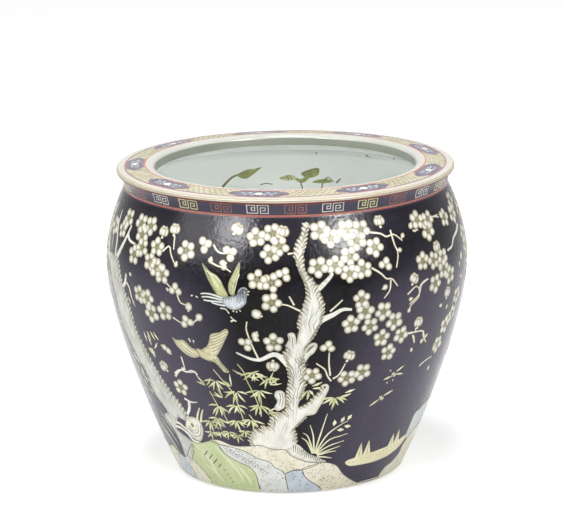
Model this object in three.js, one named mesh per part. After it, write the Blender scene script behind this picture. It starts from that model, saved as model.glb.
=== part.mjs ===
// Porcelain fish-bowl jardiniere: a bellied planter pot on its own turned foot ring, with a short
// collar, a broad flat rim flange and a rolled mouth lip. It is modelled as the sections in which
// such a pot is thrown, turned and luted together before it is fired.
// Millimetres, +Z up. The origin is the centre of the foot ring's resting face.
import * as THREE from 'three';

// ---- Driving dimensions ------------------------------------------------------------------------

// Heights, each measured up from the piece below.
const FOOT_HEIGHT = 8; // resting face to the underside of the floor
const FLOOR_THICKNESS = 13;
const LOWER_WALL_HEIGHT = 99; // inside floor to the first luted joint of the wall
const BELLY_WALL_HEIGHT = 123; // first joint to the second, at the widest level
const SHOULDER_WALL_HEIGHT = 84; // widest level to the neck
const COLLAR_HEIGHT = 15; // neck to the underside of the flange
const FLANGE_EDGE_THICKNESS = 6; // at the flange's outer edge
const FLANGE_RISE = 3; // how far the flange's top climbs from its edge to the mouth lip

// Radii from the pot's axis.
const BASE_RADIUS = 129.8; // outside of the pot where it meets the foot ring
const BELLY_RADIUS = 203.2; // widest, outside
const NECK_RADIUS = 181.5; // narrowest, outside, under the collar

// Widths, walls and edges.
const FOOT_CORNER_WIDTH = 11.8; // from the base's outside in to the resting face
const FOOT_RING_WIDTH = 20; // resting face
const FOOT_CHAMFER = 1.5; // inner edge of the resting face
const WALL_THICKNESS = 11.5; // square to the outside
const FLOOR_COVE = 16; // sweep between the inside floor and the wall
const COLLAR_FLARE = 4; // how far the collar's outside leans out from the neck to the flange
const FLANGE_OVERHANG = 3.5; // beyond the collar
const FLANGE_EDGE_ROUND = 2.6; // radius of the flange's outer corners
const FLANGE_WIDTH = 35; // from its outer edge in to the mouth lip
const LIP_WIDTH = 8; // from the flange in to the throat
const LIP_ROLL_HEIGHT = 5; // height of the rounded top of the mouth lip
const THROAT_SKIRT = 4; // upright inner edge of the collar under the mouth lip

// How the outside wall curves: each handle is a length along the wall's direction at that end.
const BASE_LEAN = 32.4 * THREE.MathUtils.DEG2RAD; // outward lean above the foot, from upright
const BASE_HANDLE = 15;
const BELLY_HANDLE_BELOW = 76;
const BELLY_HANDLE_ABOVE = 28;
const NECK_LEAN = 25 * THREE.MathUtils.DEG2RAD; // inward lean under the collar, from upright
const NECK_HANDLE = 30;
const COLLAR_HANDLE = 9; // how far the collar rises upright before it flares

// Facets.
const FACETS_ROUND = 72;
const BELOW_BELLY_STEPS = 12;
const ABOVE_BELLY_STEPS = 9;
const EDGE_STEPS = 4; // along a small rounded edge
const COVE_STEPS = 3;

// ---- Levels that follow from the heights -------------------------------------------------------

const FLOOR_UNDERSIDE_Z = FOOT_HEIGHT;
const FLOOR_TOP_Z = FLOOR_UNDERSIDE_Z + FLOOR_THICKNESS;
const LOWER_JOINT_Z = FLOOR_TOP_Z + LOWER_WALL_HEIGHT;
const BELLY_Z = LOWER_JOINT_Z + BELLY_WALL_HEIGHT;
const NECK_Z = BELLY_Z + SHOULDER_WALL_HEIGHT;
const FLANGE_UNDERSIDE_Z = NECK_Z + COLLAR_HEIGHT;
const FLANGE_EDGE_TOP_Z = FLANGE_UNDERSIDE_Z + FLANGE_EDGE_THICKNESS;
const RIM_TOP_Z = FLANGE_EDGE_TOP_Z + FLANGE_RISE;

// ---- Radii that follow from the widths ---------------------------------------------------------

const FOOT_REST_RADIUS = BASE_RADIUS - FOOT_CORNER_WIDTH; // outer edge of the resting face
const FOOT_BORE_RADIUS = FOOT_REST_RADIUS - FOOT_RING_WIDTH; // recess inside the foot ring
const COLLAR_TOP_RADIUS = NECK_RADIUS + COLLAR_FLARE;
const FLANGE_RADIUS = COLLAR_TOP_RADIUS + FLANGE_OVERHANG;
const FLANGE_BORE_RADIUS = FLANGE_RADIUS - FLANGE_WIDTH; // where the flange meets the mouth lip
const MOUTH_RADIUS = FLANGE_BORE_RADIUS - LIP_WIDTH; // clear radius of the mouth

// ---- Outlines: points are (radius, height) -----------------------------------------------------

const point = (radius, height) => new THREE.Vector2(radius, height);

/** Quarter of an ellipse about a centre, from one angle to another, both counted from +radius. */
function quarter(centre, radiusAcross, radiusUp, startAngle, endAngle) {
  const clockwise = endAngle < startAngle;
  const arc = new THREE.EllipseCurve(
    centre.x, centre.y, radiusAcross, radiusUp, startAngle, endAngle, clockwise);
  return arc.getPoints(EDGE_STEPS);
}

/** The outside of the pot from the foot ring up to the neck, as two curves that meet at the belly. */
function outsideWall() {
  const lower = new THREE.CubicBezierCurve(
    point(BASE_RADIUS, FLOOR_UNDERSIDE_Z),
    point(
      BASE_RADIUS + BASE_HANDLE * Math.sin(BASE_LEAN),
      FLOOR_UNDERSIDE_Z + BASE_HANDLE * Math.cos(BASE_LEAN)),
    point(BELLY_RADIUS, BELLY_Z - BELLY_HANDLE_BELOW),
    point(BELLY_RADIUS, BELLY_Z));
  const upper = new THREE.CubicBezierCurve(
    point(BELLY_RADIUS, BELLY_Z),
    point(BELLY_RADIUS, BELLY_Z + BELLY_HANDLE_ABOVE),
    point(
      NECK_RADIUS + NECK_HANDLE * Math.sin(NECK_LEAN),
      NECK_Z - NECK_HANDLE * Math.cos(NECK_LEAN)),
    point(NECK_RADIUS, NECK_Z));
  return [...lower.getPoints(BELOW_BELLY_STEPS), ...upper.getPoints(ABOVE_BELLY_STEPS).slice(1)];
}

/** The line that lies one wall thickness inside another, square to it. */
function insetLine(line, inset) {
  return line.map((here, index) => {
    const before = line[Math.max(index - 1, 0)];
    const after = line[Math.min(index + 1, line.length - 1)];
    const along = after.clone().sub(before).normalize();
    return point(here.x - along.y * inset, here.y + along.x * inset);
  });
}

/** Radius of a rising line at a height; past its ends the line runs on straight. */
function radiusAt(line, height) {
  let upper = line.findIndex((entry) => entry.y > height);
  if (upper < 0) upper = line.length - 1;
  upper = Math.max(upper, 1);
  const [below, above] = [line[upper - 1], line[upper]];
  const share = (height - below.y) / (above.y - below.y);
  return below.x + share * (above.x - below.x);
}

/** The stretch of a rising line between two heights, cut exactly at both. */
function stretch(line, lowHeight, highHeight) {
  const between = line.filter((entry) => entry.y > lowHeight && entry.y < highHeight);
  return [
    point(radiusAt(line, lowHeight), lowHeight),
    ...between,
    point(radiusAt(line, highHeight), highHeight),
  ];
}

const OUTSIDE = outsideWall();
const INSIDE = insetLine(OUTSIDE, WALL_THICKNESS);
const FLOOR_RADIUS = radiusAt(INSIDE, FLOOR_TOP_Z) - FLOOR_COVE; // where the cove runs out

// ---- Section outlines, each running up its outside and down its inside -------------------------

/** Foot ring: flat resting face, rounded outer corner, upright recess inside. */
function footRingOutline() {
  const corner = quarter(
    point(FOOT_REST_RADIUS, FLOOR_UNDERSIDE_Z),
    FOOT_CORNER_WIDTH, FOOT_HEIGHT, -Math.PI / 2, 0);
  return [
    point(FOOT_BORE_RADIUS, FOOT_CHAMFER),
    point(FOOT_BORE_RADIUS + FOOT_CHAMFER, 0),
    ...corner,
    point(FOOT_BORE_RADIUS, FLOOR_UNDERSIDE_Z),
  ];
}

/** Floor: a flat disc let in between the walls, over the inner edge of the foot ring. */
function floorOutline() {
  return [
    point(0, FLOOR_UNDERSIDE_Z),
    point(FLOOR_RADIUS, FLOOR_UNDERSIDE_Z),
    point(FLOOR_RADIUS, FLOOR_TOP_Z),
    point(0, FLOOR_TOP_Z),
  ];
}

/** Lower wall: from the foot ring to the first joint, with a cove that sweeps in to the floor. */
function lowerWallOutline() {
  const coveTop = FLOOR_TOP_Z + FLOOR_COVE;
  const cove = new THREE.QuadraticBezierCurve(
    point(radiusAt(INSIDE, coveTop), coveTop),
    point(radiusAt(INSIDE, FLOOR_TOP_Z), FLOOR_TOP_Z),
    point(FLOOR_RADIUS, FLOOR_TOP_Z));
  return [
    point(FLOOR_RADIUS, FLOOR_UNDERSIDE_Z),
    ...stretch(OUTSIDE, FLOOR_UNDERSIDE_Z, LOWER_JOINT_Z),
    ...stretch(INSIDE, coveTop, LOWER_JOINT_Z).reverse(),
    ...cove.getPoints(COVE_STEPS).slice(1),
  ];
}

/** A plain band of the wall between two joints. */
function wallBandOutline(lowHeight, highHeight) {
  return [
    ...stretch(OUTSIDE, lowHeight, highHeight),
    ...stretch(INSIDE, lowHeight, highHeight).reverse(),
  ];
}

/** Collar: flares out to the flange, and thickens inwards to carry the mouth lip. */
function collarOutline() {
  const flare = new THREE.QuadraticBezierCurve(
    point(NECK_RADIUS, NECK_Z),
    point(NECK_RADIUS, NECK_Z + COLLAR_HANDLE),
    point(COLLAR_TOP_RADIUS, FLANGE_UNDERSIDE_Z));
  const insideNeckRadius = radiusAt(INSIDE, NECK_Z);
  const skirtBottomZ = FLANGE_UNDERSIDE_Z - THROAT_SKIRT;
  const underLip = new THREE.QuadraticBezierCurve(
    point(MOUTH_RADIUS, skirtBottomZ),
    point((MOUTH_RADIUS + insideNeckRadius) / 2, skirtBottomZ),
    point(insideNeckRadius, NECK_Z));
  return [
    ...flare.getPoints(EDGE_STEPS),
    point(MOUTH_RADIUS, FLANGE_UNDERSIDE_Z),
    ...underLip.getPoints(EDGE_STEPS),
  ];
}

/** Flange: flat underneath, rounded at its outer edge, its top climbing gently to the mouth lip. */
function flangeOutline() {
  const roundCentreRadius = FLANGE_RADIUS - FLANGE_EDGE_ROUND;
  return [
    point(FLANGE_BORE_RADIUS, FLANGE_UNDERSIDE_Z),
    ...quarter(
      point(roundCentreRadius, FLANGE_UNDERSIDE_Z + FLANGE_EDGE_ROUND),
      FLANGE_EDGE_ROUND, FLANGE_EDGE_ROUND, -Math.PI / 2, 0),
    ...quarter(
      point(roundCentreRadius, FLANGE_EDGE_TOP_Z - FLANGE_EDGE_ROUND),
      FLANGE_EDGE_ROUND, FLANGE_EDGE_ROUND, 0, Math.PI / 2),
    point(FLANGE_BORE_RADIUS, RIM_TOP_Z),
  ];
}

/** Mouth lip: a ring inside the flange, rolled over from its top into the throat. */
function mouthLipOutline() {
  const rollCentre = point(FLANGE_BORE_RADIUS, RIM_TOP_Z - LIP_ROLL_HEIGHT);
  const rollWidth = FLANGE_BORE_RADIUS - MOUTH_RADIUS;
  return [
    point(FLANGE_BORE_RADIUS, FLANGE_UNDERSIDE_Z),
    ...quarter(rollCentre, rollWidth, LIP_ROLL_HEIGHT, Math.PI / 2, Math.PI),
    point(MOUTH_RADIUS, FLANGE_UNDERSIDE_Z),
  ];
}

// ---- Sections turned about the pot's axis ------------------------------------------------------

/** A named section turned from its outline, which is closed first where it isn't on the axis. */
function section(name, outline, finish) {
  const touchesAxis = outline[0].x === 0;
  const profile = touchesAxis ? outline : [...outline, outline[0].clone()];
  const geometry = new THREE.LatheGeometry(profile, FACETS_ROUND);
  geometry.rotateX(Math.PI / 2);
  const mesh = new THREE.Mesh(geometry, new THREE.MeshStandardMaterial(finish));
  mesh.name = name;
  return mesh;
}

const BISCUIT = { color: 0xd9d2c3, roughness: 0.75, metalness: 0 };
const PALE_GLAZE = { color: 0xdfe6de, roughness: 0.12, metalness: 0 };
const BLACK_ENAMEL = { color: 0x16131c, roughness: 0.2, metalness: 0 };
const BORDER_ENAMEL = { color: 0xb9b88f, roughness: 0.25, metalness: 0 };

const jardiniere = new THREE.Group();
jardiniere.name = 'jardiniere';
jardiniere.add(
  section('foot_ring', footRingOutline(), BISCUIT),
  section('floor_disc', floorOutline(), PALE_GLAZE),
  section('lower_wall', lowerWallOutline(), BLACK_ENAMEL),
  section('belly_wall', wallBandOutline(LOWER_JOINT_Z, BELLY_Z), BLACK_ENAMEL),
  section('shoulder_wall', wallBandOutline(BELLY_Z, NECK_Z), BLACK_ENAMEL),
  section('collar', collarOutline(), BLACK_ENAMEL),
  section('rim_flange', flangeOutline(), BORDER_ENAMEL),
  section('mouth_lip', mouthLipOutline(), PALE_GLAZE),
);

export default jardiniere;
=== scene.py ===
import logging
import math
import random
from dataclasses import dataclass, field
from enum import Enum
from functools import cache
from typing import Callable, Sequence

import bpy
import numpy as np
from mathutils import Matrix, Vector
from mathutils.geometry import delaunay_2d_cdt


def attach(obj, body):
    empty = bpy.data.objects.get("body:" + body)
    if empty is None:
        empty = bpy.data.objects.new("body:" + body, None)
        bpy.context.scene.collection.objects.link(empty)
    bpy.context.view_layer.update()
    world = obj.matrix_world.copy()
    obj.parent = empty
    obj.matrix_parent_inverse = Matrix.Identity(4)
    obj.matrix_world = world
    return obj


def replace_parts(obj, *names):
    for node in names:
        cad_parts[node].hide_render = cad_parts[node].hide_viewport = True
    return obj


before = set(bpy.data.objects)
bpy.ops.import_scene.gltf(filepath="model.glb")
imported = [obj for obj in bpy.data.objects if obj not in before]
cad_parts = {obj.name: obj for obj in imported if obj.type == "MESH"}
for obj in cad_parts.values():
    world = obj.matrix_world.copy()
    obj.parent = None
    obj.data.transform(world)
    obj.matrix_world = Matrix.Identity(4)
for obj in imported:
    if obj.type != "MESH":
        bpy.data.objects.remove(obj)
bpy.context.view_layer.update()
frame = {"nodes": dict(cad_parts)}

LOG = logging.getLogger("jardiniere")
MM = 0.001
Point = tuple[float, float]
Place = tuple[float, float, float]
Line = tuple[Point, ...]
Face = tuple[int, ...]
Colour = tuple[int, int, int]

# ---- Sizes of the pot, in millimetres, as its solids have them ----------------------------------

FLOOR_UNDERSIDE_Z, FLOOR_TOP_Z = 8.0, 21.0
LOWER_JOINT_Z, BELLY_Z, NECK_Z = 120.0, 243.0, 327.0
FLANGE_UNDERSIDE_Z, FLANGE_EDGE_TOP_Z, RIM_TOP_Z = 342.0, 348.0, 351.0
BASE_RADIUS, BELLY_RADIUS, NECK_RADIUS, COLLAR_TOP_RADIUS = 129.8, 203.2, 181.5, 185.5
FOOT_REST_RADIUS, FOOT_BORE_RADIUS, FOOT_CHAMFER = 118.0, 98.0, 1.5
FLANGE_RADIUS, FLANGE_BORE_RADIUS, MOUTH_RADIUS = 189.0, 154.0, 146.0
FLANGE_EDGE_ROUND, LIP_ROLL_HEIGHT, THROAT_SKIRT = 2.6, 5.0, 4.0
WALL_THICKNESS, FLOOR_COVE = 11.5, 16.0
BASE_LEAN, BASE_HANDLE = math.radians(32.4), 15.0
BELLY_HANDLE_BELOW, BELLY_HANDLE_ABOVE = 76.0, 28.0
NECK_LEAN, NECK_HANDLE, COLLAR_HANDLE = math.radians(25.0), 30.0, 9.0

SEGMENTS = 384  # of a turned skin, once round
FOOT_STEPS, LOWER_STEPS, UPPER_STEPS = 16, 64, 40  # stretches of the outside line
RELIEF_ROOM = 0.45  # the walls' skins lie this far under the solids, and the raised enamel fills it
COAT_TOP = 0.18  # the black coat's surface above the walls' skins
SUNK = 0.2  # how far raised forms reach under the surface that carries them
FOOT_ROWS = (1.4, 2.1, 2.9, 3.8, 5.0, 7.5, 10.0)  # heights at which broad forms follow the foot's corner


class Slot(Enum):
    """The material slots of the record."""

    BISCUIT = "biscuit_foot"
    PALE = "pale_glaze"
    BLACK = "black_enamel"
    BORDER = "border_enamel"


# ---- Lines and surfaces of the pot --------------------------------------------------------------


def bezier(controls: Sequence[Point], steps: int) -> np.ndarray:
    """Points along a Bezier curve of any degree.

    Args:
        controls: The control points.
        steps: Number of stretches.

    Returns:
        An array of steps + 1 points.
    """
    share = np.linspace(0.0, 1.0, steps + 1)[:, None]
    degree = len(controls) - 1
    line = np.zeros((steps + 1, 2))
    for index, control in enumerate(controls):
        weight = math.comb(degree, index) * share**index * (1.0 - share) ** (degree - index)
        line += weight * np.array(control, float)
    return line


def quarter(centre: Point, across: float, up: float, start: float, end: float, steps: int = 8) -> np.ndarray:
    """Points along part of an ellipse, its angles in degrees from +radius.

    Args:
        centre: Centre as radius and height.
        across: Half axis along the radius.
        up: Half axis along the height.
        start: First angle.
        end: Last angle.
        steps: Number of stretches.

    Returns:
        An array of steps + 1 points.
    """
    angle = np.radians(np.linspace(start, end, steps + 1))
    return np.column_stack((centre[0] + across * np.cos(angle), centre[1] + up * np.sin(angle)))


def headings(line: np.ndarray) -> np.ndarray:
    """The way that a line runs at each of its points, as rows of length one."""
    along = np.gradient(line, axis=0)
    return along / np.maximum(np.linalg.norm(along, axis=1), 1e-9)[:, None]


def radius_at(line: np.ndarray, height: float) -> float:
    """The radius of a rising line at a height."""
    return float(np.interp(height, line[:, 1], line[:, 0]))


def moved_out(line: np.ndarray, distance: float) -> np.ndarray:
    """A rising line moved square to itself, away from the pot's axis where the distance is positive."""
    along = headings(line)
    return line + distance * np.column_stack((along[:, 1], -along[:, 0]))


def cut(line: np.ndarray, low: float, high: float) -> np.ndarray:
    """The stretch of a rising line between two heights, cut exactly at both."""
    inner = line[(line[:, 1] > low + 1e-6) & (line[:, 1] < high - 1e-6)]
    ends = [(radius_at(line, z), z) for z in (low, high)]
    return np.vstack((ends[0], inner, ends[1]))


def outside_line() -> np.ndarray:
    """The outside of the pot from its resting face to the underside of the flange."""
    rest = (FOOT_REST_RADIUS, FLOOR_UNDERSIDE_Z)
    foot = quarter(rest, BASE_RADIUS - FOOT_REST_RADIUS, FLOOR_UNDERSIDE_Z, -90, 0, FOOT_STEPS)
    rise = (BASE_HANDLE * math.sin(BASE_LEAN), BASE_HANDLE * math.cos(BASE_LEAN))
    lower = bezier(
        [
            (BASE_RADIUS, FLOOR_UNDERSIDE_Z),
            (BASE_RADIUS + rise[0], FLOOR_UNDERSIDE_Z + rise[1]),
            (BELLY_RADIUS, BELLY_Z - BELLY_HANDLE_BELOW),
            (BELLY_RADIUS, BELLY_Z),
        ],
        LOWER_STEPS,
    )
    upper = bezier(
        [
            (BELLY_RADIUS, BELLY_Z),
            (BELLY_RADIUS, BELLY_Z + BELLY_HANDLE_ABOVE),
            (NECK_RADIUS + NECK_HANDLE * math.sin(NECK_LEAN), NECK_Z - NECK_HANDLE * math.cos(NECK_LEAN)),
            (NECK_RADIUS, NECK_Z),
        ],
        UPPER_STEPS,
    )
    neck, top = (NECK_RADIUS, NECK_Z), (COLLAR_TOP_RADIUS, FLANGE_UNDERSIDE_Z)
    collar = bezier([neck, (NECK_RADIUS, NECK_Z + COLLAR_HANDLE), top], 10)
    return np.vstack((foot, lower[1:], upper[1:], collar[1:]))


OUTSIDE = outside_line()
INSIDE = moved_out(OUTSIDE[FOOT_STEPS : FOOT_STEPS + LOWER_STEPS + UPPER_STEPS + 1], -WALL_THICKNESS)


class Chart:
    """A surface of the pot that carries painting, read by an angle in degrees and one more measure in mm.

    Angle 0 faces -Y, and a growing angle turns towards +X.
    """

    mirrored = False  # whether the two measures run left-handed when the surface is looked at
    lowest = -math.inf  # the smallest second measure that painting reaches

    def line(self, across: np.ndarray) -> tuple[np.ndarray, np.ndarray, np.ndarray, np.ndarray]:
        """Radius, height, and the outward normal's radius and height parts, at the second measure."""
        raise NotImplementedError

    def place(self, at: np.ndarray, lift: np.ndarray) -> np.ndarray:
        """Positions in metres of points on the chart.

        Args:
            at: Rows of angle and second measure.
            lift: Height above the surface, in mm.

        Returns:
            Rows of x, y, z.
        """
        radius, height, out, up = self.line(at[:, 1])
        turn = np.radians(at[:, 0])
        radius = radius + out * lift
        return np.column_stack((radius * np.sin(turn), -radius * np.cos(turn), height + up * lift)) * MM

    def scales(self, at: Point) -> tuple[float, float]:
        """Millimetres of surface per degree and per unit of the second measure, at a point."""
        low, high = (self.line(np.array([at[1] + step])) for step in (-0.5, 0.5))
        rise = math.hypot(float(high[0][0] - low[0][0]), float(high[1][0] - low[1][0]))
        return math.radians(float(low[0][0])), rise


class WallChart(Chart):
    """The outside of the pot, by angle and height."""

    lowest = 0.6

    def __init__(self) -> None:
        """Tabulates the line of the walls' skins and its slope."""
        along = headings(OUTSIDE)
        self.heights, self.radii = OUTSIDE[:, 1], OUTSIDE[:, 0]
        self.out, self.up = along[:, 1], -along[:, 0]

    def line(self, across: np.ndarray) -> tuple[np.ndarray, np.ndarray, np.ndarray, np.ndarray]:
        """See Chart.line."""
        out = np.interp(across, self.heights, self.out)
        up = np.interp(across, self.heights, self.up)
        radius = np.interp(across, self.heights, self.radii)
        return radius - RELIEF_ROOM * out, across - RELIEF_ROOM * up, out, up


class RimChart(Chart):
    """The top of the flange, by angle and radius."""

    mirrored = True

    def line(self, across: np.ndarray) -> tuple[np.ndarray, np.ndarray, np.ndarray, np.ndarray]:
        """See Chart.line."""
        outer = FLANGE_RADIUS - FLANGE_EDGE_ROUND
        fall = (RIM_TOP_Z - FLANGE_EDGE_TOP_Z) / (outer - FLANGE_BORE_RADIUS)
        height = RIM_TOP_Z - fall * (across - FLANGE_BORE_RADIUS)
        tip = math.hypot(1.0, fall)
        return across, height, np.full_like(across, fall / tip), np.full_like(across, 1.0 / tip)


class InsideChart(Chart):
    """The inside of the walls, by angle and height."""

    mirrored = True

    def line(self, across: np.ndarray) -> tuple[np.ndarray, np.ndarray, np.ndarray, np.ndarray]:
        """See Chart.line."""
        along = headings(INSIDE)
        radius = np.interp(across, INSIDE[:, 1], INSIDE[:, 0])
        out = -np.interp(across, INSIDE[:, 1], along[:, 1])
        return radius, across, out, np.interp(across, INSIDE[:, 1], along[:, 0])


WALL, RIM, WELL = WallChart(), RimChart(), InsideChart()


# ---- Finishes -----------------------------------------------------------------------------------


def linear(colour: Colour) -> tuple[float, float, float, float]:
    """A colour written as it looks, from 0 to 255, as the linear values that a shader takes."""
    parts = [value / 255.0 for value in colour]
    return (*(p / 12.92 if p <= 0.04045 else ((p + 0.055) / 1.055) ** 2.4 for p in parts), 1.0)


THIN = "thin"  # the mesh attribute that says where enamel has run out
MID_GREY = (0.5, 0.5, 0.5, 1.0)
BUMP_DEPTH = 0.0004  # metres that a finish's surface is broken up by, at full strength
Tree, Node, Socket = bpy.types.NodeTree, bpy.types.Node, bpy.types.NodeSocket


def joined(tree: Tree, kind: str | Node, inputs: dict[str | int, object]) -> Node:
    """A node whose inputs are joined to sockets, or set where a plain value is given.

    Args:
        tree: The tree that it stands in.
        kind: Its type, or the node itself where it stands there already.
        inputs: A socket or a value for each input, by name or number.

    Returns:
        The node.
    """
    node = tree.nodes.new(kind) if isinstance(kind, str) else kind
    for label, value in inputs.items():
        if isinstance(value, Socket):
            tree.links.new(value, node.inputs[label])
        else:
            node.inputs[label].default_value = value
    return node


def maths(tree: Tree, operation: str, *inputs: object, clamp: bool = False) -> Socket:
    """The result of a sum over sockets and numbers."""
    node = joined(tree, "ShaderNodeMath", dict(enumerate(inputs)))
    node.operation, node.use_clamp = operation, clamp
    return node.outputs["Value"]


def noise(tree: Tree, place: Socket, scale: float, detail: float) -> Socket:
    """A noise texture on the given coordinates."""
    inputs = {"Vector": place, "Scale": scale, "Detail": detail}
    return joined(tree, "ShaderNodeTexNoise", inputs).outputs["Fac"]


def spread(tree: Tree, value: Socket, low: float, high: float) -> Socket:
    """A value's range between two levels, mapped onto 0 to 1 and clamped."""
    inputs = {"Value": value, "From Min": low, "From Max": high}
    return joined(tree, "ShaderNodeMapRange", inputs).outputs["Result"]


def blend(tree: Tree, share: Socket, first: Socket, second: Socket) -> Socket:
    """A mix of two colours by a share."""
    node = tree.nodes.new("ShaderNodeMix")
    node.data_type = "RGBA"
    return joined(tree, node, {"Factor": share, "A": first, "B": second}).outputs["Result"]


class Groups:
    """Shader node groups that several finishes share, each built once."""

    @staticmethod
    def _begun(
        name: str, colours: Sequence[str], numbers: Sequence[str]
    ) -> tuple[Tree, dict[str, Socket], Socket]:
        """A new group with its sockets.

        Args:
            name: Name of the group.
            colours: Names of its colour inputs.
            numbers: Names of its number inputs.

        Returns:
            The node tree, its inputs as they come in, and the coordinates on the object.
        """
        tree = bpy.data.node_groups.new(name, "ShaderNodeTree")
        for labels, kind, default in ((colours, "Color", MID_GREY), (numbers, "Float", 0.5)):
            for label in labels:
                kinds = {"in_out": "INPUT", "socket_type": f"NodeSocket{kind}"}
                tree.interface.new_socket(name=label, **kinds).default_value = default
        tree.interface.new_socket(name="Color", in_out="OUTPUT", socket_type="NodeSocketColor")
        for label in ("Roughness", "Height"):
            tree.interface.new_socket(name=label, in_out="OUTPUT", socket_type="NodeSocketFloat")
        given = tree.nodes.new("NodeGroupInput").outputs
        where = tree.nodes.new("ShaderNodeTexCoord").outputs["Object"]
        return tree, {label: given[label] for label in (*colours, *numbers)}, where

    @staticmethod
    def _ended(tree: Tree, colour: Socket, height: Socket, roughness: Socket) -> Tree:
        """The group, its results joined to its outputs."""
        joined(tree, "NodeGroupOutput", {"Color": colour, "Height": height, "Roughness": roughness})
        return tree

    @staticmethod
    @cache
    def fired_glaze() -> Tree:
        """Pooled glaze: slow drifts of tone, faint specks, and the orange-peel of a fired surface."""
        tree, given, where = Groups._begun(
            "fired_glaze", ("Tone", "Drift", "Speck"), ("Drift amount", "Speck amount", "Roughness")
        )
        slow = spread(tree, noise(tree, where, 9.0, 3.0), 0.35, 0.68)
        grain = spread(tree, noise(tree, where, 420.0, 2.0), 0.58, 0.78)
        drift = maths(tree, "MULTIPLY", slow, given["Drift amount"])
        tone = blend(tree, drift, given["Tone"], given["Drift"])
        speck = maths(tree, "MULTIPLY", grain, given["Speck amount"])
        colour = blend(tree, speck, tone, given["Speck"])
        rough = maths(tree, "MULTIPLY_ADD", slow, 0.08, given["Roughness"])
        return Groups._ended(tree, colour, noise(tree, where, 240.0, 3.0), rough)

    @staticmethod
    @cache
    def black_with_painted_reflection() -> Tree:
        """Black enamel: deep in the middle, with grey painted in as reflection low at its sides and on the collar,
        and as sheen on the shoulder; mottled all over.
        """
        tree, given, where = Groups._begun("black_with_painted_reflection", ("Deep", "Grey"), ("Drift", "Roughness"))
        apart = joined(tree, "ShaderNodeSeparateXYZ", {"Vector": where}).outputs
        off_middle = maths(tree, "ABSOLUTE", apart["X"])
        # Painted reflection: the grey share rises low on the pot's sides, away from the middle of front and back.
        side = spread(tree, maths(tree, "MULTIPLY_ADD", apart["Z"], -0.35, off_middle), -0.02, 0.05)
        low = spread(tree, apart["Z"], 0.29, 0.23)
        grain = spread(tree, noise(tree, where, 150.0, 4.0), 0.45, 0.72)
        share = 0.0
        for value, weight in (
            (maths(tree, "MULTIPLY", side, low), 0.8),
            (spread(tree, apart["Z"], 0.324, 0.329), 0.7),  # the collar, greyed as painted reflection
            (spread(tree, apart["Z"], 0.27, 0.31), 0.2),  # the shoulder, greyed as painted sheen round the highlights
            (spread(tree, noise(tree, where, 13.0, 3.0), 0.42, 0.70), 0.1),
            (grain, 0.07),
        ):
            share = maths(tree, "MULTIPLY_ADD", value, weight, share, clamp=True)
        colour = blend(tree, maths(tree, "MULTIPLY", share, given["Drift"]), given["Deep"], given["Grey"])
        rough = maths(tree, "MULTIPLY_ADD", grain, 0.05, given["Roughness"])
        return Groups._ended(tree, colour, noise(tree, where, 210.0, 4.0), rough)

    @staticmethod
    @cache
    def brushed_enamel() -> Tree:
        """Overglaze enamel laid by brush: streaks of thick and thin colour that run one way."""
        tree, given, where = Groups._begun(
            "brushed_enamel", ("Thick", "Thin", "Edge"), ("Streak", "Edge amount", "Roughness")
        )
        stretched = joined(tree, "ShaderNodeMapping", {"Vector": where, "Scale": (1.0, 1.0, 0.35)})
        streaks = noise(tree, stretched.outputs["Vector"], 190.0, 4.0)
        patches = noise(tree, where, 46.0, 2.0)
        share = spread(tree, maths(tree, "ADD", streaks, patches), 0.82, 1.24)
        colour = blend(tree, maths(tree, "MULTIPLY", share, given["Streak"]), given["Thick"], given["Thin"])
        runs_out = tree.nodes.new("ShaderNodeAttribute")
        runs_out.attribute_name = THIN
        edge = maths(tree, "MULTIPLY", runs_out.outputs["Fac"], given["Edge amount"])
        rough = maths(tree, "MULTIPLY_ADD", share, 0.15, given["Roughness"])
        return Groups._ended(tree, blend(tree, edge, colour, given["Edge"]), streaks, rough)


@dataclass(frozen=True)
class Finish:
    """A fired finish: its tones, how glossy it is, and how strongly its surface is broken up."""

    name: str
    tone: Colour
    second: Colour
    gloss: float = 0.25  # roughness
    amount: float = 0.6  # share of the second tone
    bump: float = 0.05
    shine: float = 0.5  # specular level
    edge: Colour = (96, 92, 84)  # tone where the enamel runs out
    runs_out: float = 0.0  # share of that tone at a form's very edge

    def _shader(self, group: Tree, values: dict[str, object]) -> bpy.types.Material:
        """The material that wires a group's colour, roughness and height into one shader."""
        found = bpy.data.materials.get(self.name)
        if found:
            return found
        material = bpy.data.materials.new(self.name)
        material.use_nodes = True
        material.diffuse_color = linear(self.tone)
        tree = material.node_tree
        tree.nodes.clear()
        source = tree.nodes.new("ShaderNodeGroup")
        source.node_tree = group
        look = joined(tree, source, values).outputs
        relief = {"Strength": self.bump, "Distance": BUMP_DEPTH, "Height": look["Height"]}
        bump = joined(tree, "ShaderNodeBump", relief).outputs["Normal"]
        inputs = {"Base Color": look["Color"], "Roughness": look["Roughness"], "Normal": bump}
        shader = joined(tree, "ShaderNodeBsdfPrincipled", {**inputs, "Specular IOR Level": self.shine})
        joined(tree, "ShaderNodeOutputMaterial", {"Surface": shader.outputs["BSDF"]})
        return material

    def material(self) -> bpy.types.Material:
        """The enamel's material, made once."""
        tones = {"Thick": linear(self.tone), "Thin": linear(self.second), "Edge": linear(self.edge)}
        shares = {"Streak": self.amount, "Edge amount": self.runs_out, "Roughness": self.gloss}
        return self._shader(Groups.brushed_enamel(), {**tones, **shares})


@dataclass(frozen=True)
class Glaze(Finish):
    """A glaze over a whole surface, with specks as well as slow drifts of tone."""

    speck: Colour = (120, 110, 90)
    specks: float = 0.15

    def material(self) -> bpy.types.Material:
        """The glaze's material, made once."""
        tones = {"Tone": linear(self.tone), "Drift": linear(self.second), "Speck": linear(self.speck)}
        shares = {"Drift amount": self.amount, "Speck amount": self.specks, "Roughness": self.gloss}
        return self._shader(Groups.fired_glaze(), {**tones, **shares})


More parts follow.
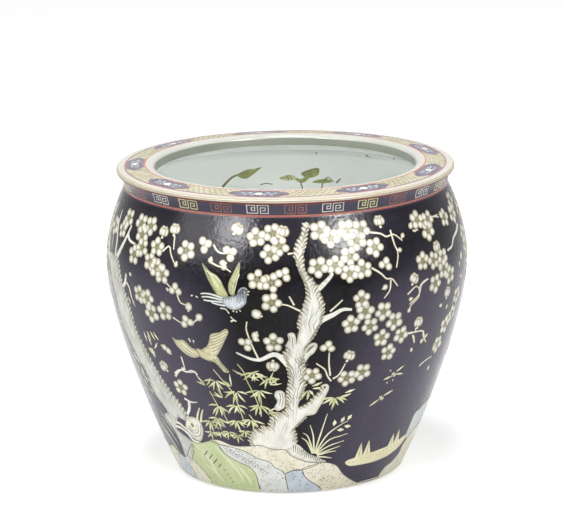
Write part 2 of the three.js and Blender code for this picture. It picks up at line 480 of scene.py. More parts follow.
@dataclass(frozen=True)
class Coat(Finish):
    """The black ground enamel, which drifts from deep black to a purplish grey, the grey mostly painted reflection.
    """

    def material(self) -> bpy.types.Material:
        """The coat's material, made once."""
        tones = {"Deep": linear(self.tone), "Grey": linear(self.second)}
        return self._shader(Groups.black_with_painted_reflection(), {**tones, "Drift": self.amount, "Roughness": self.gloss})


BISCUIT = Glaze("biscuit_porcelain", (226, 220, 206), (210, 200, 182), 0.7, 0.7, 0.25, 0.3, specks=0.5)
WELL_GLAZE = Glaze("celadon_white_glaze", (243, 246, 243), (237, 241, 237), 0.12, 0.6, 0.05, 0.5, specks=0.05)
# A darker grey-green glaze: painted shade under the lip's roll.
THROAT_SHADE_GLAZE = Glaze("throat_painted_shade_glaze", (138, 142, 130), (158, 162, 150), 0.14, 0.8, 0.04, 0.5, specks=0.05)
LIP_GLAZE = Glaze("white_lip_glaze", (190, 190, 183), (182, 182, 175), 0.12, 0.6, 0.04, 0.3, specks=0.05)
EDGE_GLAZE = Glaze("cream_edge_glaze", (197, 194, 184), (187, 181, 168), 0.16, 0.6, 0.04, 0.3, specks=0.1)
# Its second tone is the purplish grey of painted reflection, and of the enamel's mottling.
BLACK_COAT = Coat("black_enamel_coat", (6, 5, 6), (75, 71, 87), 0.14, 1.0, 1.0, 0.13)
PETAL_WHITE = Finish(
    "petal_white", (236, 235, 225), (217, 218, 204), 0.3, 0.8, 0.05, 0.25, edge=(120, 120, 104), runs_out=0.85
)
PETAL_EDGE = Finish("petal_edge_olive", (172, 158, 114), (132, 120, 82), 0.4, 0.7)
STAMEN = Finish("stamen_olive", (156, 152, 108), (124, 120, 82), 0.4)
TWIG_CREAM = Finish("twig_cream", (228, 222, 200), (200, 190, 160), 0.35)
BARK = Finish("bark_cream", (232, 231, 222), (208, 208, 196), 0.35, 0.9, edge=(150, 146, 122), runs_out=0.6)
BARK_GREY = Finish("bark_grey_wash", (208, 209, 200), (180, 182, 174), 0.35, 0.9, edge=(120, 118, 104), runs_out=0.7)
BARK_SHADE = Finish("bark_shade_olive", (118, 110, 82), (86, 79, 60), 0.4)
BARK_LINE = Finish("bark_line_brown", (92, 86, 66), (66, 60, 48), 0.4)
LEAF_OLIVE = Finish("leaf_olive", (210, 211, 160), (168, 172, 116), 0.35, 0.9)
LEAF_DARK = Finish("leaf_dark_olive", (104, 106, 72), (80, 82, 56), 0.4)
GRASS = Finish("grass_cream_green", (226, 224, 190), (194, 193, 146), 0.35)
WING_GREEN = Finish("wing_green", (203, 206, 148), (166, 171, 112), 0.35, 0.9, edge=(104, 104, 72), runs_out=0.7)
WING_CREAM = Finish("wing_cream", (218, 213, 178), (190, 184, 142), 0.35, 0.9, edge=(120, 112, 80), runs_out=0.6)
PLUMAGE_BLUE = Finish("plumage_blue", (206, 212, 213), (172, 180, 186), 0.3, 0.9, edge=(104, 108, 120), runs_out=0.8)
PLUMAGE_DARK = Finish("plumage_dark", (58, 60, 70), (88, 92, 104), 0.3)
HILL_GREEN = Finish("hill_green", (196, 204, 159), (178, 191, 136), 0.3, 0.9)
HILL_LIGHT = Finish("hill_light_green", (214, 218, 186), (206, 213, 170), 0.3)
ROCK_CREAM = Finish("rock_cream", (229, 226, 209), (214, 208, 180), 0.3, 0.9)
ROCK_GREY = Finish("rock_grey_white", (220, 221, 217), (200, 203, 200), 0.3, 0.9)
ROCK_BLUE = Finish("rock_pale_blue", (194, 203, 211), (172, 184, 197), 0.3, 0.9)
ROCK_SHADE = Finish("rock_grey_green", (196, 204, 200), (176, 186, 178), 0.3, 0.9)
ROCK_LINE = Finish("rock_line_olive", (104, 98, 78), (80, 74, 62), 0.4)
BANK_YELLOW = Finish("bank_yellow", (230, 225, 188), (214, 207, 160), 0.3)
FRET_WHITE = Finish("fret_white", (210, 207, 197), (176, 173, 167), 0.35)
FRET_YELLOW = Finish("fret_yellow", (216, 212, 154), (186, 180, 126), 0.35)
FRET_RED = Finish("fret_iron_red", (150, 92, 80), (118, 76, 72), 0.35, 1.0)
LINE_ORANGE = Finish("line_orange", (186, 118, 88), (160, 92, 74), 0.3, 1.0)
LINE_BROWN = Finish("line_red_brown", (122, 62, 40), (100, 48, 32), 0.4, 1.0, 0.05, 0.2)
LINE_RED = Finish("line_magenta_red", (150, 78, 78), (122, 62, 70), 0.3)
LINE_PURPLE = Finish("line_purple", (150, 100, 108), (124, 78, 94), 0.3)
GILDING = Finish("gilt_line", (176, 152, 94), (156, 130, 78), 0.4, 1.0, 0.05, 0.15)
DIAPER_CREAM = Finish("diaper_cream", (188, 183, 161), (170, 163, 138), 0.4, 1.0, 0.05, 0.3)
DIAPER_GREEN = Finish("diaper_green", (206, 204, 176), (178, 177, 142), 0.4, 0.9, 0.05, 0.3)
PANEL_INK = Finish("panel_ink", (88, 85, 98), (118, 115, 126), 0.25, 0.9, 0.05, 0.4)
SPRAY_GREEN = Finish("spray_green", (166, 172, 106), (132, 140, 78), 0.3, 0.9)
SPRAY_BROWN = Finish("spray_brown", (136, 122, 88), (108, 96, 68), 0.35)


# ---- Mesh building ------------------------------------------------------------------------------


def finished(
    name: str, points: np.ndarray, faces: list[Face], marks: np.ndarray, finish: Finish,
    sharp: float = 40.0, thin: np.ndarray | None = None,
) -> bpy.types.Object:
    """A smooth mesh object that rides on the pot.

    Args:
        name: Name of the piece.
        points: Rows of x, y, z in metres.
        faces: Vertex indices of each face.
        marks: A pair of map coordinates for each vertex.
        finish: Its finish.
        sharp: Edges that turn by more than this many degrees stay sharp.
        thin: For each vertex, how far the enamel has run out there, where it does.

    Returns:
        The new object.
    """
    mesh = bpy.data.meshes.new(name)
    mesh.from_pydata(points.tolist(), [], faces)
    mesh.shade_smooth()
    layer = mesh.uv_layers.new(name="OFBake")
    corners = np.empty(len(mesh.loops), dtype=np.int32)
    mesh.loops.foreach_get("vertex_index", corners)
    layer.data.foreach_set("uv", np.clip(marks, 0.0, 1.0)[corners].astype(np.float32).ravel())
    mesh.set_sharp_from_angle(angle=math.radians(sharp))
    if thin is not None:
        mesh.attributes.new(THIN, "FLOAT", "POINT").data.foreach_set("value", thin.astype(np.float32))
    mesh.materials.append(finish.material())
    piece = bpy.data.objects.new(name, mesh)
    bpy.context.scene.collection.objects.link(piece)
    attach(piece, "root")
    LOG.info("%s: %d faces", name, len(faces))
    return piece


def turned(name: str, outline: np.ndarray, finish: Finish) -> bpy.types.Object:
    """A closed solid turned about the pot's axis.

    Args:
        name: Name of the piece.
        outline: Radius and height in mm, up its outside and down its inside.
        finish: Its finish.

    Returns:
        The new object.
    """
    on_axis = outline[0][0] < 1e-6
    loop = outline if on_axis else np.vstack((outline, outline[:1]))
    run = np.concatenate(([0.0], np.cumsum(np.linalg.norm(np.diff(loop, axis=0), axis=1))))
    run /= run[-1]
    columns = SEGMENTS + 1
    turn = np.linspace(0.0, 2.0 * math.pi, columns)
    rings, marks = [], []
    for (radius, height), share in zip(loop, run):
        level = np.full(columns, height)
        rings.append(np.column_stack((radius * np.cos(turn), radius * np.sin(turn), level)) * MM)
        marks.append(np.column_stack((turn / (2.0 * math.pi), np.full(columns, share))))
    points, uv = np.vstack(rings), np.vstack(marks)
    # The last column and the last ring fold onto the first, so that the solid is closed.
    count = len(outline)
    index = (np.arange(len(loop))[:, None] % count) * SEGMENTS + np.arange(columns)[None] % SEGMENTS
    if on_axis:
        index[0, :], index[-1, :] = index[0, 0], index[-1, 0]
    base = np.arange(len(loop) * columns).reshape(len(loop), columns)
    faces, face_marks = [], []
    for ring in range(len(loop) - 1):
        for column in range(SEGMENTS):
            corners = ((ring, column), (ring, column + 1), (ring + 1, column + 1), (ring + 1, column))
            face: dict[int, int] = {}
            for corner in corners:
                face.setdefault(int(index[corner]), int(base[corner]))
            if len(face) > 2:
                faces.append(tuple(face))
                face_marks.extend(face.values())
    kept = base[:count, :SEGMENTS].ravel()
    used = sorted({corner for face in faces for corner in face})
    renumber = {old: new for new, old in enumerate(used)}
    faces = [tuple(renumber[corner] for corner in face) for face in faces]
    piece = finished(name, points[kept][used], faces, uv[kept][used], finish)
    piece.data.uv_layers["OFBake"].data.foreach_set("uv", uv[face_marks].astype(np.float32).ravel())
    return piece


def flowing(points: Sequence[Point], step: float, wide: float, closed: bool = False) -> np.ndarray:
    """A smooth line through points, evenly spaced.

    Args:
        points: Angle and second measure of each point.
        step: Spacing in mm.
        wide: Millimetres per degree.
        closed: Whether the line comes back to its start.

    Returns:
        Rows of angle and second measure.
    """
    knots = np.array(points, float) * (wide, 1.0)
    if len(knots) == 2 and not closed:
        knots = np.vstack((knots[0], knots.mean(axis=0), knots[1]))
    count = len(knots)
    if closed:
        padded = np.vstack((knots[-1], knots, knots[:2]))
        spans = count
    else:
        padded = np.vstack((2 * knots[0] - knots[1], knots, 2 * knots[-1] - knots[-2]))
        spans = count - 1
    line = []
    share = np.linspace(0.0, 1.0, 8, endpoint=False)[:, None]
    for span in range(spans):
        a, b, c, d = padded[span : span + 4]
        line.append(
            0.5 * (2 * b + (c - a) * share + (2 * a - 5 * b + 4 * c - d) * share**2
                   + (3 * b - a - 3 * c + d) * share**3)
        )
    line = np.vstack((*line, padded[1] if closed else padded[-2]))
    run = np.concatenate(([0.0], np.cumsum(np.linalg.norm(np.diff(line, axis=0), axis=1))))
    stations = np.linspace(0.0, run[-1], max(4, int(run[-1] / step) + 1) + 1)
    even = np.column_stack([np.interp(stations, run, line[:, axis]) for axis in (0, 1)])
    return (even[:-1] if closed else even) / (wide, 1.0)


def inside(outline: np.ndarray, points: np.ndarray, margin: float | np.ndarray) -> np.ndarray:
    """Which points lie within a polygon and at least a margin away from its edge."""
    start, end = outline, np.roll(outline, -1, axis=0)
    x, y = points[:, 0][:, None], points[:, 1][:, None]
    with np.errstate(divide="ignore", invalid="ignore"):
        crossing = (start[:, 1] > y) != (end[:, 1] > y)
        at = (end[:, 0] - start[:, 0]) * (y - start[:, 1]) / (end[:, 1] - start[:, 1]) + start[:, 0]
    within = (np.where(crossing, x < at, False).sum(axis=1) % 2) == 1
    edge = end - start
    length = np.maximum((edge**2).sum(axis=1), 1e-9)
    share = np.clip(((x - start[:, 0]) * edge[:, 0] + (y - start[:, 1]) * edge[:, 1]) / length, 0.0, 1.0)
    apart = np.hypot(x - start[:, 0] - share * edge[:, 0], y - start[:, 1] - share * edge[:, 1]).min(axis=1)
    return within & (apart > margin)


@dataclass
class Relief:
    """One colour of raised enamel: many small closed forms gathered on a chart, then made as one piece."""

    name: str
    chart: Chart
    finish: Finish
    slot: Slot = Slot.BLACK
    ground: float = COAT_TOP
    points: list[np.ndarray] = field(default_factory=list)
    faces: list[Face] = field(default_factory=list)
    count: int = 0

    def _add(self, at: np.ndarray, lift: np.ndarray, faces: list[Face], thin: np.ndarray | None = None) -> None:
        """Takes in one closed form, given by chart positions, lifts and how far its enamel has run out."""
        self.points.append(np.column_stack((at, lift, np.zeros(len(at)) if thin is None else thin)))
        self.faces.extend(tuple(corner + self.count for corner in face) for face in faces)
        self.count += len(at)

    def pad(self, centre: Point, shape: Sequence[Point], rim: float, crest: float, foot: float = -SUNK) -> None:
        """A small rounded form.

        Args:
            centre: Where it sits.
            shape: Its outline round the centre, in mm, counter-clockwise.
            rim: Lift at its outline.
            crest: Lift at its middle.
            foot: Lift of its underside.
        """
        wide, tall = self.chart.scales(centre)
        outer = np.array(shape, float)
        size = len(outer)
        local = np.vstack((outer, outer, outer * 0.62 + outer.mean(axis=0) * 0.38, outer.mean(axis=0)[None]))
        at = np.array(centre) + local / (wide, tall)
        lift = np.concatenate(
            (np.full(size, foot), np.full(size, rim), np.full(size, rim + 0.8 * (crest - rim)), [crest])
        )
        faces: list[Face] = [tuple(reversed(range(size)))]
        for k in range(size):
            n = (k + 1) % size
            faces.append((k, n, size + n, size + k))
            faces.append((size + k, size + n, 2 * size + n, 2 * size + k))
            faces.append((2 * size + k, 2 * size + n, 3 * size))
        self._add(at, lift, faces, np.concatenate((np.ones(2 * size), np.full(size, 0.16), [0.0])))

    def stroke(
        self, points: Sequence[Point], start: float, end: float, top: float = 0.12, step: float = 3.5,
        middle: float | None = None, foot: float = -SUNK,
    ) -> None:
        """A brush stroke along a line.

        Args:
            points: Points that the line flows through.
            start: Width at its first point, in mm.
            end: Width at its last point.
            top: Lift of its upper side.
            step: Spacing of its stations, in mm.
            middle: Width halfway, where that isn't between the two.
            foot: Lift of its underside.
        """
        wide, tall = self.chart.scales(points[len(points) // 2])
        line = flowing(points, step, wide)
        flat = line * (wide, tall)
        along = headings(flat)
        side = np.column_stack((-along[:, 1], along[:, 0]))
        share = np.linspace(0.0, 1.0, len(flat))
        stops = ([0.0, 0.5, 1.0], [start, middle, end]) if middle is not None else ([0.0, 1.0], [start, end])
        half = np.interp(share, *stops)[:, None] / 2.0
        left, right = (flat + side * half) / (wide, tall), (flat - side * half) / (wide, tall)
        size = len(flat)
        at = np.vstack((left, left, right, right))
        lift = np.repeat((foot, top, top, foot), size)
        faces: list[Face] = [(0, size, 2 * size, 3 * size)]
        faces.append((4 * size - 1, 3 * size - 1, 2 * size - 1, size - 1))
        for k in range(size - 1):
            for row in range(4):
                a, b = row * size, ((row + 1) % 4) * size
                faces.append((a + k, a + k + 1, b + k + 1, b + k))
        self._add(at, lift, faces)

    def slab(
        self, outline: Sequence[Point], rim: float = 0.06, crest: float = 0.12, spacing: float = 5.0,
        smooth: bool = True, foot: float = -SUNK,
    ) -> None:
        """A broad form within an outline, its points close enough to follow the pot.

        Args:
            outline: Its corners.
            rim: Lift along its outline.
            crest: Lift inside.
            spacing: Spacing of its inner points, in mm.
            smooth: Whether the outline flows through its corners.
            foot: Lift of its underside.
        """
        middle = tuple(np.mean(np.array(outline, float), axis=0))
        wide, _ = self.chart.scales(middle)
        if smooth:
            border = flowing(outline, min(3.0, spacing), wide, closed=True) * (wide, 1.0)
        else:
            knots = np.array(outline, float) * (wide, 1.0)
            runs = []
            for start, end in zip(knots, np.roll(knots, -1, axis=0)):
                parts = max(1, int(np.linalg.norm(end - start) / 3.0))
                runs.append(start + (end - start) * np.linspace(0.0, 1.0, parts, endpoint=False)[:, None])
            border = np.vstack(runs)
        border[:, 1] = np.maximum(border[:, 1], self.chart.lowest)
        low, high = border.min(axis=0), border.max(axis=0)
        across = np.arange(low[0], high[0], spacing)
        rows = np.arange(low[1] + spacing / 2, high[1], spacing * 0.87)
        if low[1] < FLOOR_UNDERSIDE_Z and self.chart.lowest > 0.0:
            rows = np.concatenate((FOOT_ROWS, rows[rows > 12.0]))
        grid = [(x + (spacing / 2 if row % 2 else 0.0), y) for row, y in enumerate(rows) for x in across]
        inner = np.array(grid) if grid else np.empty((0, 2))
        if len(inner):
            inner = inner[inside(border, inner, np.where(inner[:, 1] < 10.5, 0.7, spacing * 0.45))]
        everything = np.vstack((border, inner)) if len(inner) else border
        size = len(border)
        edges = [(k, (k + 1) % size) for k in range(size)]
        corners, _, triangles, *_ = delaunay_2d_cdt([Vector(p) for p in everything], edges, [], 1, 1e-4)
        flat = np.array([tuple(corner) for corner in corners])
        if not triangles:
            return
        faces = []
        for triangle in triangles:
            loop = flat[list(triangle)]
            area = np.dot(loop[:, 0], np.roll(loop[:, 1], -1)) - np.dot(loop[:, 1], np.roll(loop[:, 0], -1))
            faces.append(tuple(triangle) if area > 0 else tuple(reversed(triangle)))
        directed = {(face[k], face[(k + 1) % len(face)]) for face in faces for k in range(len(face))}
        open_edges = [(a, b) for a, b in directed if (b, a) not in directed]
        on_edge = {corner for edge in open_edges for corner in edge}
        used = sorted({corner for face in faces for corner in face})
        number = {old: new for new, old in enumerate(used)}
        total = len(used)
        at = flat[used] / (wide, 1.0)
        top = np.array([rim if corner in on_edge else crest for corner in used])
        shell = [tuple(number[corner] for corner in face) for face in faces]
        under = [tuple(total + corner for corner in reversed(face)) for face in shell]
        sides = [(number[b], number[a], total + number[a], total + number[b]) for a, b in sorted(open_edges)]
        thin = np.array([1.0 if corner in on_edge else 0.0 for corner in used])
        lift = np.concatenate((top, np.full(total, foot)))
        self._add(np.vstack((at, at)), lift, shell + under + sides, np.tile(thin, 2))

    def made(self) -> bpy.types.Object | None:
        """The piece with everything gathered so far, or None where nothing was."""
        if not self.points:
            return None
        rows = np.vstack(self.points)
        place = self.chart.place(rows[:, :2], rows[:, 2] + self.ground)
        turn = (rows[:, 0] + 105.0) % 360.0 / 360.0
        if isinstance(self.chart, RimChart):
            across = (rows[:, 1] - 140.0) / 60.0
        else:
            across = rows[:, 1] / RIM_TOP_Z
        faces = [tuple(reversed(face)) for face in self.faces] if self.chart.mirrored else self.faces
        marks = np.column_stack((turn, across))
        return finished(self.name, place, faces, marks, self.finish, thin=rows[:, 3])


# ---- The potted body ----------------------------------------------------------------------------


@dataclass
class Body:
    """The thrown and turned body: the skins that stand for the solids, and the black coat over them."""

    coat_low: float = 3.5  # the coat starts this far above the resting face
    coat_sunk: float = 0.9  # how far the coat reaches under the walls' skins
    # How much thinner the coat gets, below what height, and over what drop.
    coat_thins: tuple[tuple[float, float, float], ...] = ((0.15, 14.0, 6.0), (0.5, 6.5, 2.0))
    shade_sunk: float = 0.4  # how far the ring of painted shade under the lip reaches into the lip
    shade_proud: float = 0.12  # how far it stands out of the lip

    def _coat(self) -> None:
        """The black coat from the foot to the flange, thinner where the rocks run down to the foot."""
        top = FLANGE_UNDERSIDE_Z - 0.05
        outer = cut(moved_out(OUTSIDE, COAT_TOP - RELIEF_ROOM), self.coat_low, top)
        low = outer[:, 1]
        for depth, start, run in self.coat_thins:
            outer[:, 0] -= depth * np.clip((start - low) / run, 0.0, 1.0)
        under = cut(moved_out(OUTSIDE, -RELIEF_ROOM - self.coat_sunk), self.coat_low, top)
        turned("black_coat", np.vstack((outer, under[::-1])), BLACK_COAT)

    def _skin(self, node: str, name: str, finish: Finish, slot: Slot, *parts: object) -> None:
        """A skin that stands for one solid.

        Args:
            node: The solid's name.
            name: Name of the piece.
            finish: Its finish.
            slot: The record's slot; not used.
            parts: Stretches and corners of its outline, up its outside and down its inside.
        """
        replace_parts(turned(name, np.vstack(parts), finish), node)

    def build(self) -> None:
        """Builds the body's pieces."""
        skin = moved_out(OUTSIDE, -RELIEF_ROOM)  # the walls' skins lie under the raised enamel
        inner_corner = radius_at(INSIDE, FLOOR_TOP_Z)
        floor_radius = inner_corner - FLOOR_COVE
        corner = cut(skin, float(skin[0, 1]), FLOOR_UNDERSIDE_Z)
        corner = corner[corner[:, 1] >= 0.0]
        self._skin(
            "foot_ring", "foot_ring_skin", BISCUIT, Slot.BISCUIT, (FOOT_BORE_RADIUS, FOOT_CHAMFER),
            (FOOT_BORE_RADIUS + FOOT_CHAMFER, 0.0), (FOOT_REST_RADIUS - 1.0, 0.0), corner[1:],
            (FOOT_BORE_RADIUS, FLOOR_UNDERSIDE_Z),
        )
        self._skin(
            "floor_disc", "floor_skin", WELL_GLAZE, Slot.PALE, (0.0, FLOOR_UNDERSIDE_Z),
            (floor_radius, FLOOR_UNDERSIDE_Z), (floor_radius, FLOOR_TOP_Z), (0.0, FLOOR_TOP_Z),
        )
        cove_top = FLOOR_TOP_Z + FLOOR_COVE
        cove_start = (radius_at(INSIDE, cove_top), cove_top)
        cove = bezier([cove_start, (inner_corner, FLOOR_TOP_Z), (floor_radius, FLOOR_TOP_Z)], 12)
        self._skin(
            "lower_wall", "lower_wall_skin", WELL_GLAZE, Slot.PALE, (floor_radius, FLOOR_UNDERSIDE_Z),
            cut(skin, FLOOR_UNDERSIDE_Z, LOWER_JOINT_Z), cut(INSIDE, cove_top, LOWER_JOINT_Z)[::-1], cove[1:],
        )
        for node, low, high in (("belly_wall", LOWER_JOINT_Z, BELLY_Z), ("shoulder_wall", BELLY_Z, NECK_Z)):
            walls = (cut(skin, low, high), cut(INSIDE, low, high)[::-1])
            self._skin(node, f"{node}_skin", WELL_GLAZE, Slot.PALE, *walls)
        skirt = FLANGE_UNDERSIDE_Z - THROAT_SKIRT
        neck = (radius_at(INSIDE, NECK_Z), NECK_Z)
        under_lip = bezier([(MOUTH_RADIUS, skirt), ((MOUTH_RADIUS + neck[0]) / 2.0, skirt), neck], 10)
        self._skin(
            "collar", "collar_skin", WELL_GLAZE, Slot.PALE, cut(skin, NECK_Z, FLANGE_UNDERSIDE_Z),
            (MOUTH_RADIUS, FLANGE_UNDERSIDE_Z), under_lip,
        )
        edge, rounding = FLANGE_RADIUS - FLANGE_EDGE_ROUND, (FLANGE_EDGE_ROUND, FLANGE_EDGE_ROUND)
        self._skin(
            "rim_flange", "rim_flange_skin", EDGE_GLAZE, Slot.BORDER,
            (FLANGE_BORE_RADIUS, FLANGE_UNDERSIDE_Z),
            quarter((edge, FLANGE_UNDERSIDE_Z + FLANGE_EDGE_ROUND), *rounding, -90, 0),
            quarter((edge, FLANGE_EDGE_TOP_Z - FLANGE_EDGE_ROUND), *rounding, 0, 90),
            (FLANGE_BORE_RADIUS, RIM_TOP_Z),
        )
        roll, reach = (FLANGE_BORE_RADIUS, RIM_TOP_Z - LIP_ROLL_HEIGHT), FLANGE_BORE_RADIUS - MOUTH_RADIUS
        self._skin(
            "mouth_lip", "mouth_lip_skin", LIP_GLAZE, Slot.PALE, (FLANGE_BORE_RADIUS, FLANGE_UNDERSIDE_Z),
            quarter(roll, reach, LIP_ROLL_HEIGHT, 90, 180, 12), (MOUTH_RADIUS, FLANGE_UNDERSIDE_Z),
        )
        self._coat()
        # A ring of darker glaze over the underside of the lip's roll and down the throat's skirt: painted shade
        # under the lip.
        sunk, proud = MOUTH_RADIUS + self.shade_sunk, self.shade_proud
        low = skirt + self.shade_sunk
        bulge = quarter(roll, reach + proud, LIP_ROLL_HEIGHT + proud, 168, 180, 4)
        shade_outline = np.vstack(((sunk, low), (sunk, roll[1]), bulge, (MOUTH_RADIUS - proud, low)))
        turned("throat_painted_shade_ring", shade_outline, THROAT_SHADE_GLAZE)


@dataclass
class Lines:
    """Coloured lines that run all round the pot, each a thin turned ring."""

    thickness: float = 0.3
    proud: float = 0.06  # how far a line stands out of what carries it
    rim_proud: float = 0.16  # the same on the flange's top

    def _on_wall(self, name: str, low: float, high: float, finish: Finish) -> None:
        """A line on the black coat between two heights."""
        top = COAT_TOP + self.proud - RELIEF_ROOM
        outer = cut(moved_out(OUTSIDE, top), low, high)
        under = cut(moved_out(OUTSIDE, top - self.thickness), low, high)
        turned(name, np.vstack((outer, under[::-1])), finish)

    def _on_rim(self, name: str, low: float, high: float, finish: Finish) -> None:
        """A line on the top of the flange between two radii."""
        radius, height, out, up = RIM.line(np.array([high, low]))
        top = np.column_stack((radius + out * self.rim_proud, height + up * self.rim_proud))
        under = np.column_stack((radius, height - self.thickness))
        turned(name, np.vstack((under[:1], top, under[1:])), finish)

    def _round_edge(self, name: str, start: float, end: float, upper: bool, finish: Finish) -> None:
        """A line round the flange's edge, between two angles of its upper or lower corner."""
        height = FLANGE_EDGE_TOP_Z - FLANGE_EDGE_ROUND if upper else FLANGE_UNDERSIDE_Z + FLANGE_EDGE_ROUND
        centre = (FLANGE_RADIUS - FLANGE_EDGE_ROUND, height)
        outer, under = (
            quarter(centre, FLANGE_EDGE_ROUND + away, FLANGE_EDGE_ROUND + away, start, end)
            for away in (self.proud, -self.thickness)
        )
        turned(name, np.vstack((outer, under[::-1])), finish)

    def build(self) -> None:
        """Builds the lines."""
        for name, low, high, finish in (
            ("collar_line_red", 326.6, 327.8, LINE_RED), ("collar_line_orange", 327.8, 329.3, LINE_ORANGE),
            ("neck_line_red", 341.3, 341.92, LINE_RED),
        ):
            self._on_wall(name, low, high, finish)
        self._round_edge("edge_line_red", -72.0, -10.0, False, LINE_BROWN)
        self._round_edge("edge_line_gold", 2.0, 18.0, True, GILDING)
        self._round_edge("edge_line_gilt", 52.0, 68.0, True, GILDING)
        self._on_rim("band_line_outer", 178.8, 180.2, LINE_PURPLE)
        self._on_rim("band_line_inner", 156.4, 157.8, LINE_ORANGE)


@dataclass
class KeyBorder:
    """The key-fret border on the collar: repeats in white, yellow and iron red."""

    repeats: int = 28
    first: float = 3.2
    height: float = 10.2
    width: float = 25.2
    squeeze: float = 0.92  # of the figure's width
    low: float = 331.3
    stroke: float = 1.05
    figure: tuple[Point, ...] = (
        (7.5, 6.9), (5.2, 6.9), (5.2, 3.3), (9.4, 3.3), (9.4, 10.0), (0.0, 10.0), (0.0, 0.0), (12.6, 0.0),
        (12.6, 10.0), (25.2, 10.0), (25.2, 0.0), (16.0, 0.0), (16.0, 6.9), (21.6, 6.9), (21.6, 3.3),
        (18.6, 3.3),
    )

    def build(self) -> None:
        """Builds the border's pieces."""
        inks = {
            "white": Relief("fret_white", WALL, FRET_WHITE, Slot.BORDER),
            "yellow": Relief("fret_yellow", WALL, FRET_YELLOW, Slot.BORDER),
            "red": Relief("fret_red", WALL, FRET_RED, Slot.BORDER),
        }
        per_degree = math.radians(NECK_RADIUS)
        reach = self.stroke / 2.0
        rise = (self.height - self.stroke) / 10.0
        for repeat in range(self.repeats):
            turn = self.first + repeat * 360.0 / self.repeats
            if turn < 180.0:
                ink = inks[("red", "white", "yellow")[repeat % 3]]
            else:
                ink = inks[("white", "red", "yellow")[(self.repeats - repeat - 1) % 3]]
            place = [
                (turn + (x - self.width / 2.0) * self.squeeze / per_degree, self.low + y * rise)
                for x, y in self.figure
            ]
            for start, end in zip(place, place[1:]):
                low = (min(start[0], end[0]) - reach / per_degree, min(start[1], end[1]) - reach)
                high = (max(start[0], end[0]) + reach / per_degree, max(start[1], end[1]) + reach)
                middle = ((low[0] + high[0]) / 2, (low[1] + high[1]) / 2)
                if abs(end[0] - start[0]) * per_degree > abs(end[1] - start[1]):
                    ink.stroke([(low[0], middle[1]), (high[0], middle[1])], self.stroke, self.stroke, 0.06)
                else:
                    ink.stroke([(middle[0], low[1]), (middle[0], high[1])], self.stroke, self.stroke, 0.07)
        for ink in inks.values():
            ink.made()


@dataclass
class RimPanels:
    """The rim's top: dark bracket-ended panels with a flower spray, on a cream scale diaper."""

    panels: int = 9
    first: float = -10.0
    inner: float = 158.2
    outer: float = 178.4
    half_panel: float = 11.4  # degrees
    bracket: float = 4.2  # degrees that a panel's pointed end takes
    frame: float = 1.3  # how far a panel's frame reaches past it, in mm

    def _panel(self, centre: float, grow: float) -> list[Point]:
        """A panel's outline, grown by some mm."""
        degree = math.radians((self.inner + self.outer) / 2.0)
        low, high, middle = self.inner + 1.2 - grow, self.outer - 1.2 + grow, (self.inner + self.outer) / 2.0
        half, waist = self.half_panel + grow / degree, self.half_panel - self.bracket
        right = [(waist, low), (waist + 0.9, low + 2.6), (half - 1.3, middle - 4.6), (half, middle),
                 (half - 1.3, middle + 4.6), (waist + 0.9, high - 2.6), (waist, high)]
        left = [(-x, y) for x, y in reversed(right)]
        return [(centre + x, y) for x, y in right + left]

    def _diaper(self, centre: float, ground: Relief, ink: Relief, lines: Relief) -> None:
        """The scale diaper between a panel and the next one."""
        pitch = 360.0 / self.panels
        overlap = self.half_panel - 3.4  # it reaches under both panels' pointed ends
        start, end = centre + overlap, centre + pitch - overlap
        middle = (start + end) / 2.0
        band = [(start, self.inner), (end, self.inner), (end, self.outer), (start, self.outer)]
        ground.slab(band, 0.03, 0.03, 6.0, False)
        for row in range(4):
            radius = self.inner + 2.6 + row * 5.1
            shift = 1.2 if row % 2 else 0.0
            for step in range(-5, 6):
                at = middle + shift + step * 2.4
                if abs(at - middle) < (end - start) / 2 - 3.3 + abs(radius - 168.3) * 0.13:
                    arc = [(at - 1.15, radius - 1.8), (at - 0.6, radius + 1.4), (at, radius + 2.3),
                           (at + 0.6, radius + 1.4), (at + 1.15, radius - 1.8)]
                    lines.stroke(arc, 0.55, 0.55, 0.09)
                    ink.pad((at, radius + 0.1), ring(1.35, 1.7, 8), 0.07, 0.1)

    def _spray(
        self, centre: float, rng: random.Random, flowers: Relief, hearts: Relief, leaves: Relief
    ) -> None:
        """A panel's flower with a leafy stem to each side."""
        middle = (self.inner + self.outer) / 2.0
        degree = math.radians(middle)

        def off(along: float, away: float) -> Point:
            """A place some mm along the rim and away from its middle."""
            return (centre + along / degree, middle + away)

        for petal in range(6):
            turn = math.radians(petal * 60.0 + rng.uniform(-8, 8))
            flowers.pad(off(3.0 * math.cos(turn), 2.7 * math.sin(turn)), ring(2.1, 1.9, 9), 0.17, 0.21)
        hearts.pad((centre, middle), ring(1.4, 1.3, 8), 0.22, 0.25)
        for side in (-1, 1):
            leaves.stroke([off(side * 4.8, 0.0), off(side * 12, -1.5), off(side * 19, 1.0)], 0.9, 0.5, 0.17)
            for along, away in ((7, 3.4), (10, -3.6), (14, 3.2), (18, -2.6)):
                leaves.pad(off(side * along, away), ring(2.3, 1.2, 8), 0.17, 0.19)

    def build(self) -> None:
        """Builds the rim's painted pieces."""
        rng = random.Random(11)
        ground, scales, lines, frames, panels, leaves, flowers, hearts = reliefs = [
            Relief(name, RIM, finish, Slot.BORDER, 0.0)
            for name, finish in (
                ("diaper_ground", DIAPER_CREAM), ("diaper_scales", DIAPER_GREEN), ("diaper_lines", ROCK_LINE),
                ("panel_frames", LINE_PURPLE), ("rim_panels", PANEL_INK), ("panel_leaves", ROCK_BLUE),
                ("panel_flowers", PETAL_WHITE), ("panel_hearts", FRET_YELLOW),
            )
        ]
        for index in range(self.panels):
            centre = self.first + index * 360.0 / self.panels
            self._diaper(centre, ground, scales, lines)
            frames.slab(self._panel(centre, self.frame), 0.1, 0.1, 6.0, False)
            panels.slab(self._panel(centre, 0.0), 0.14, 0.14, 6.0, False)
            self._spray(centre, rng, flowers, hearts, leaves)
        for relief in reliefs:
            relief.made()


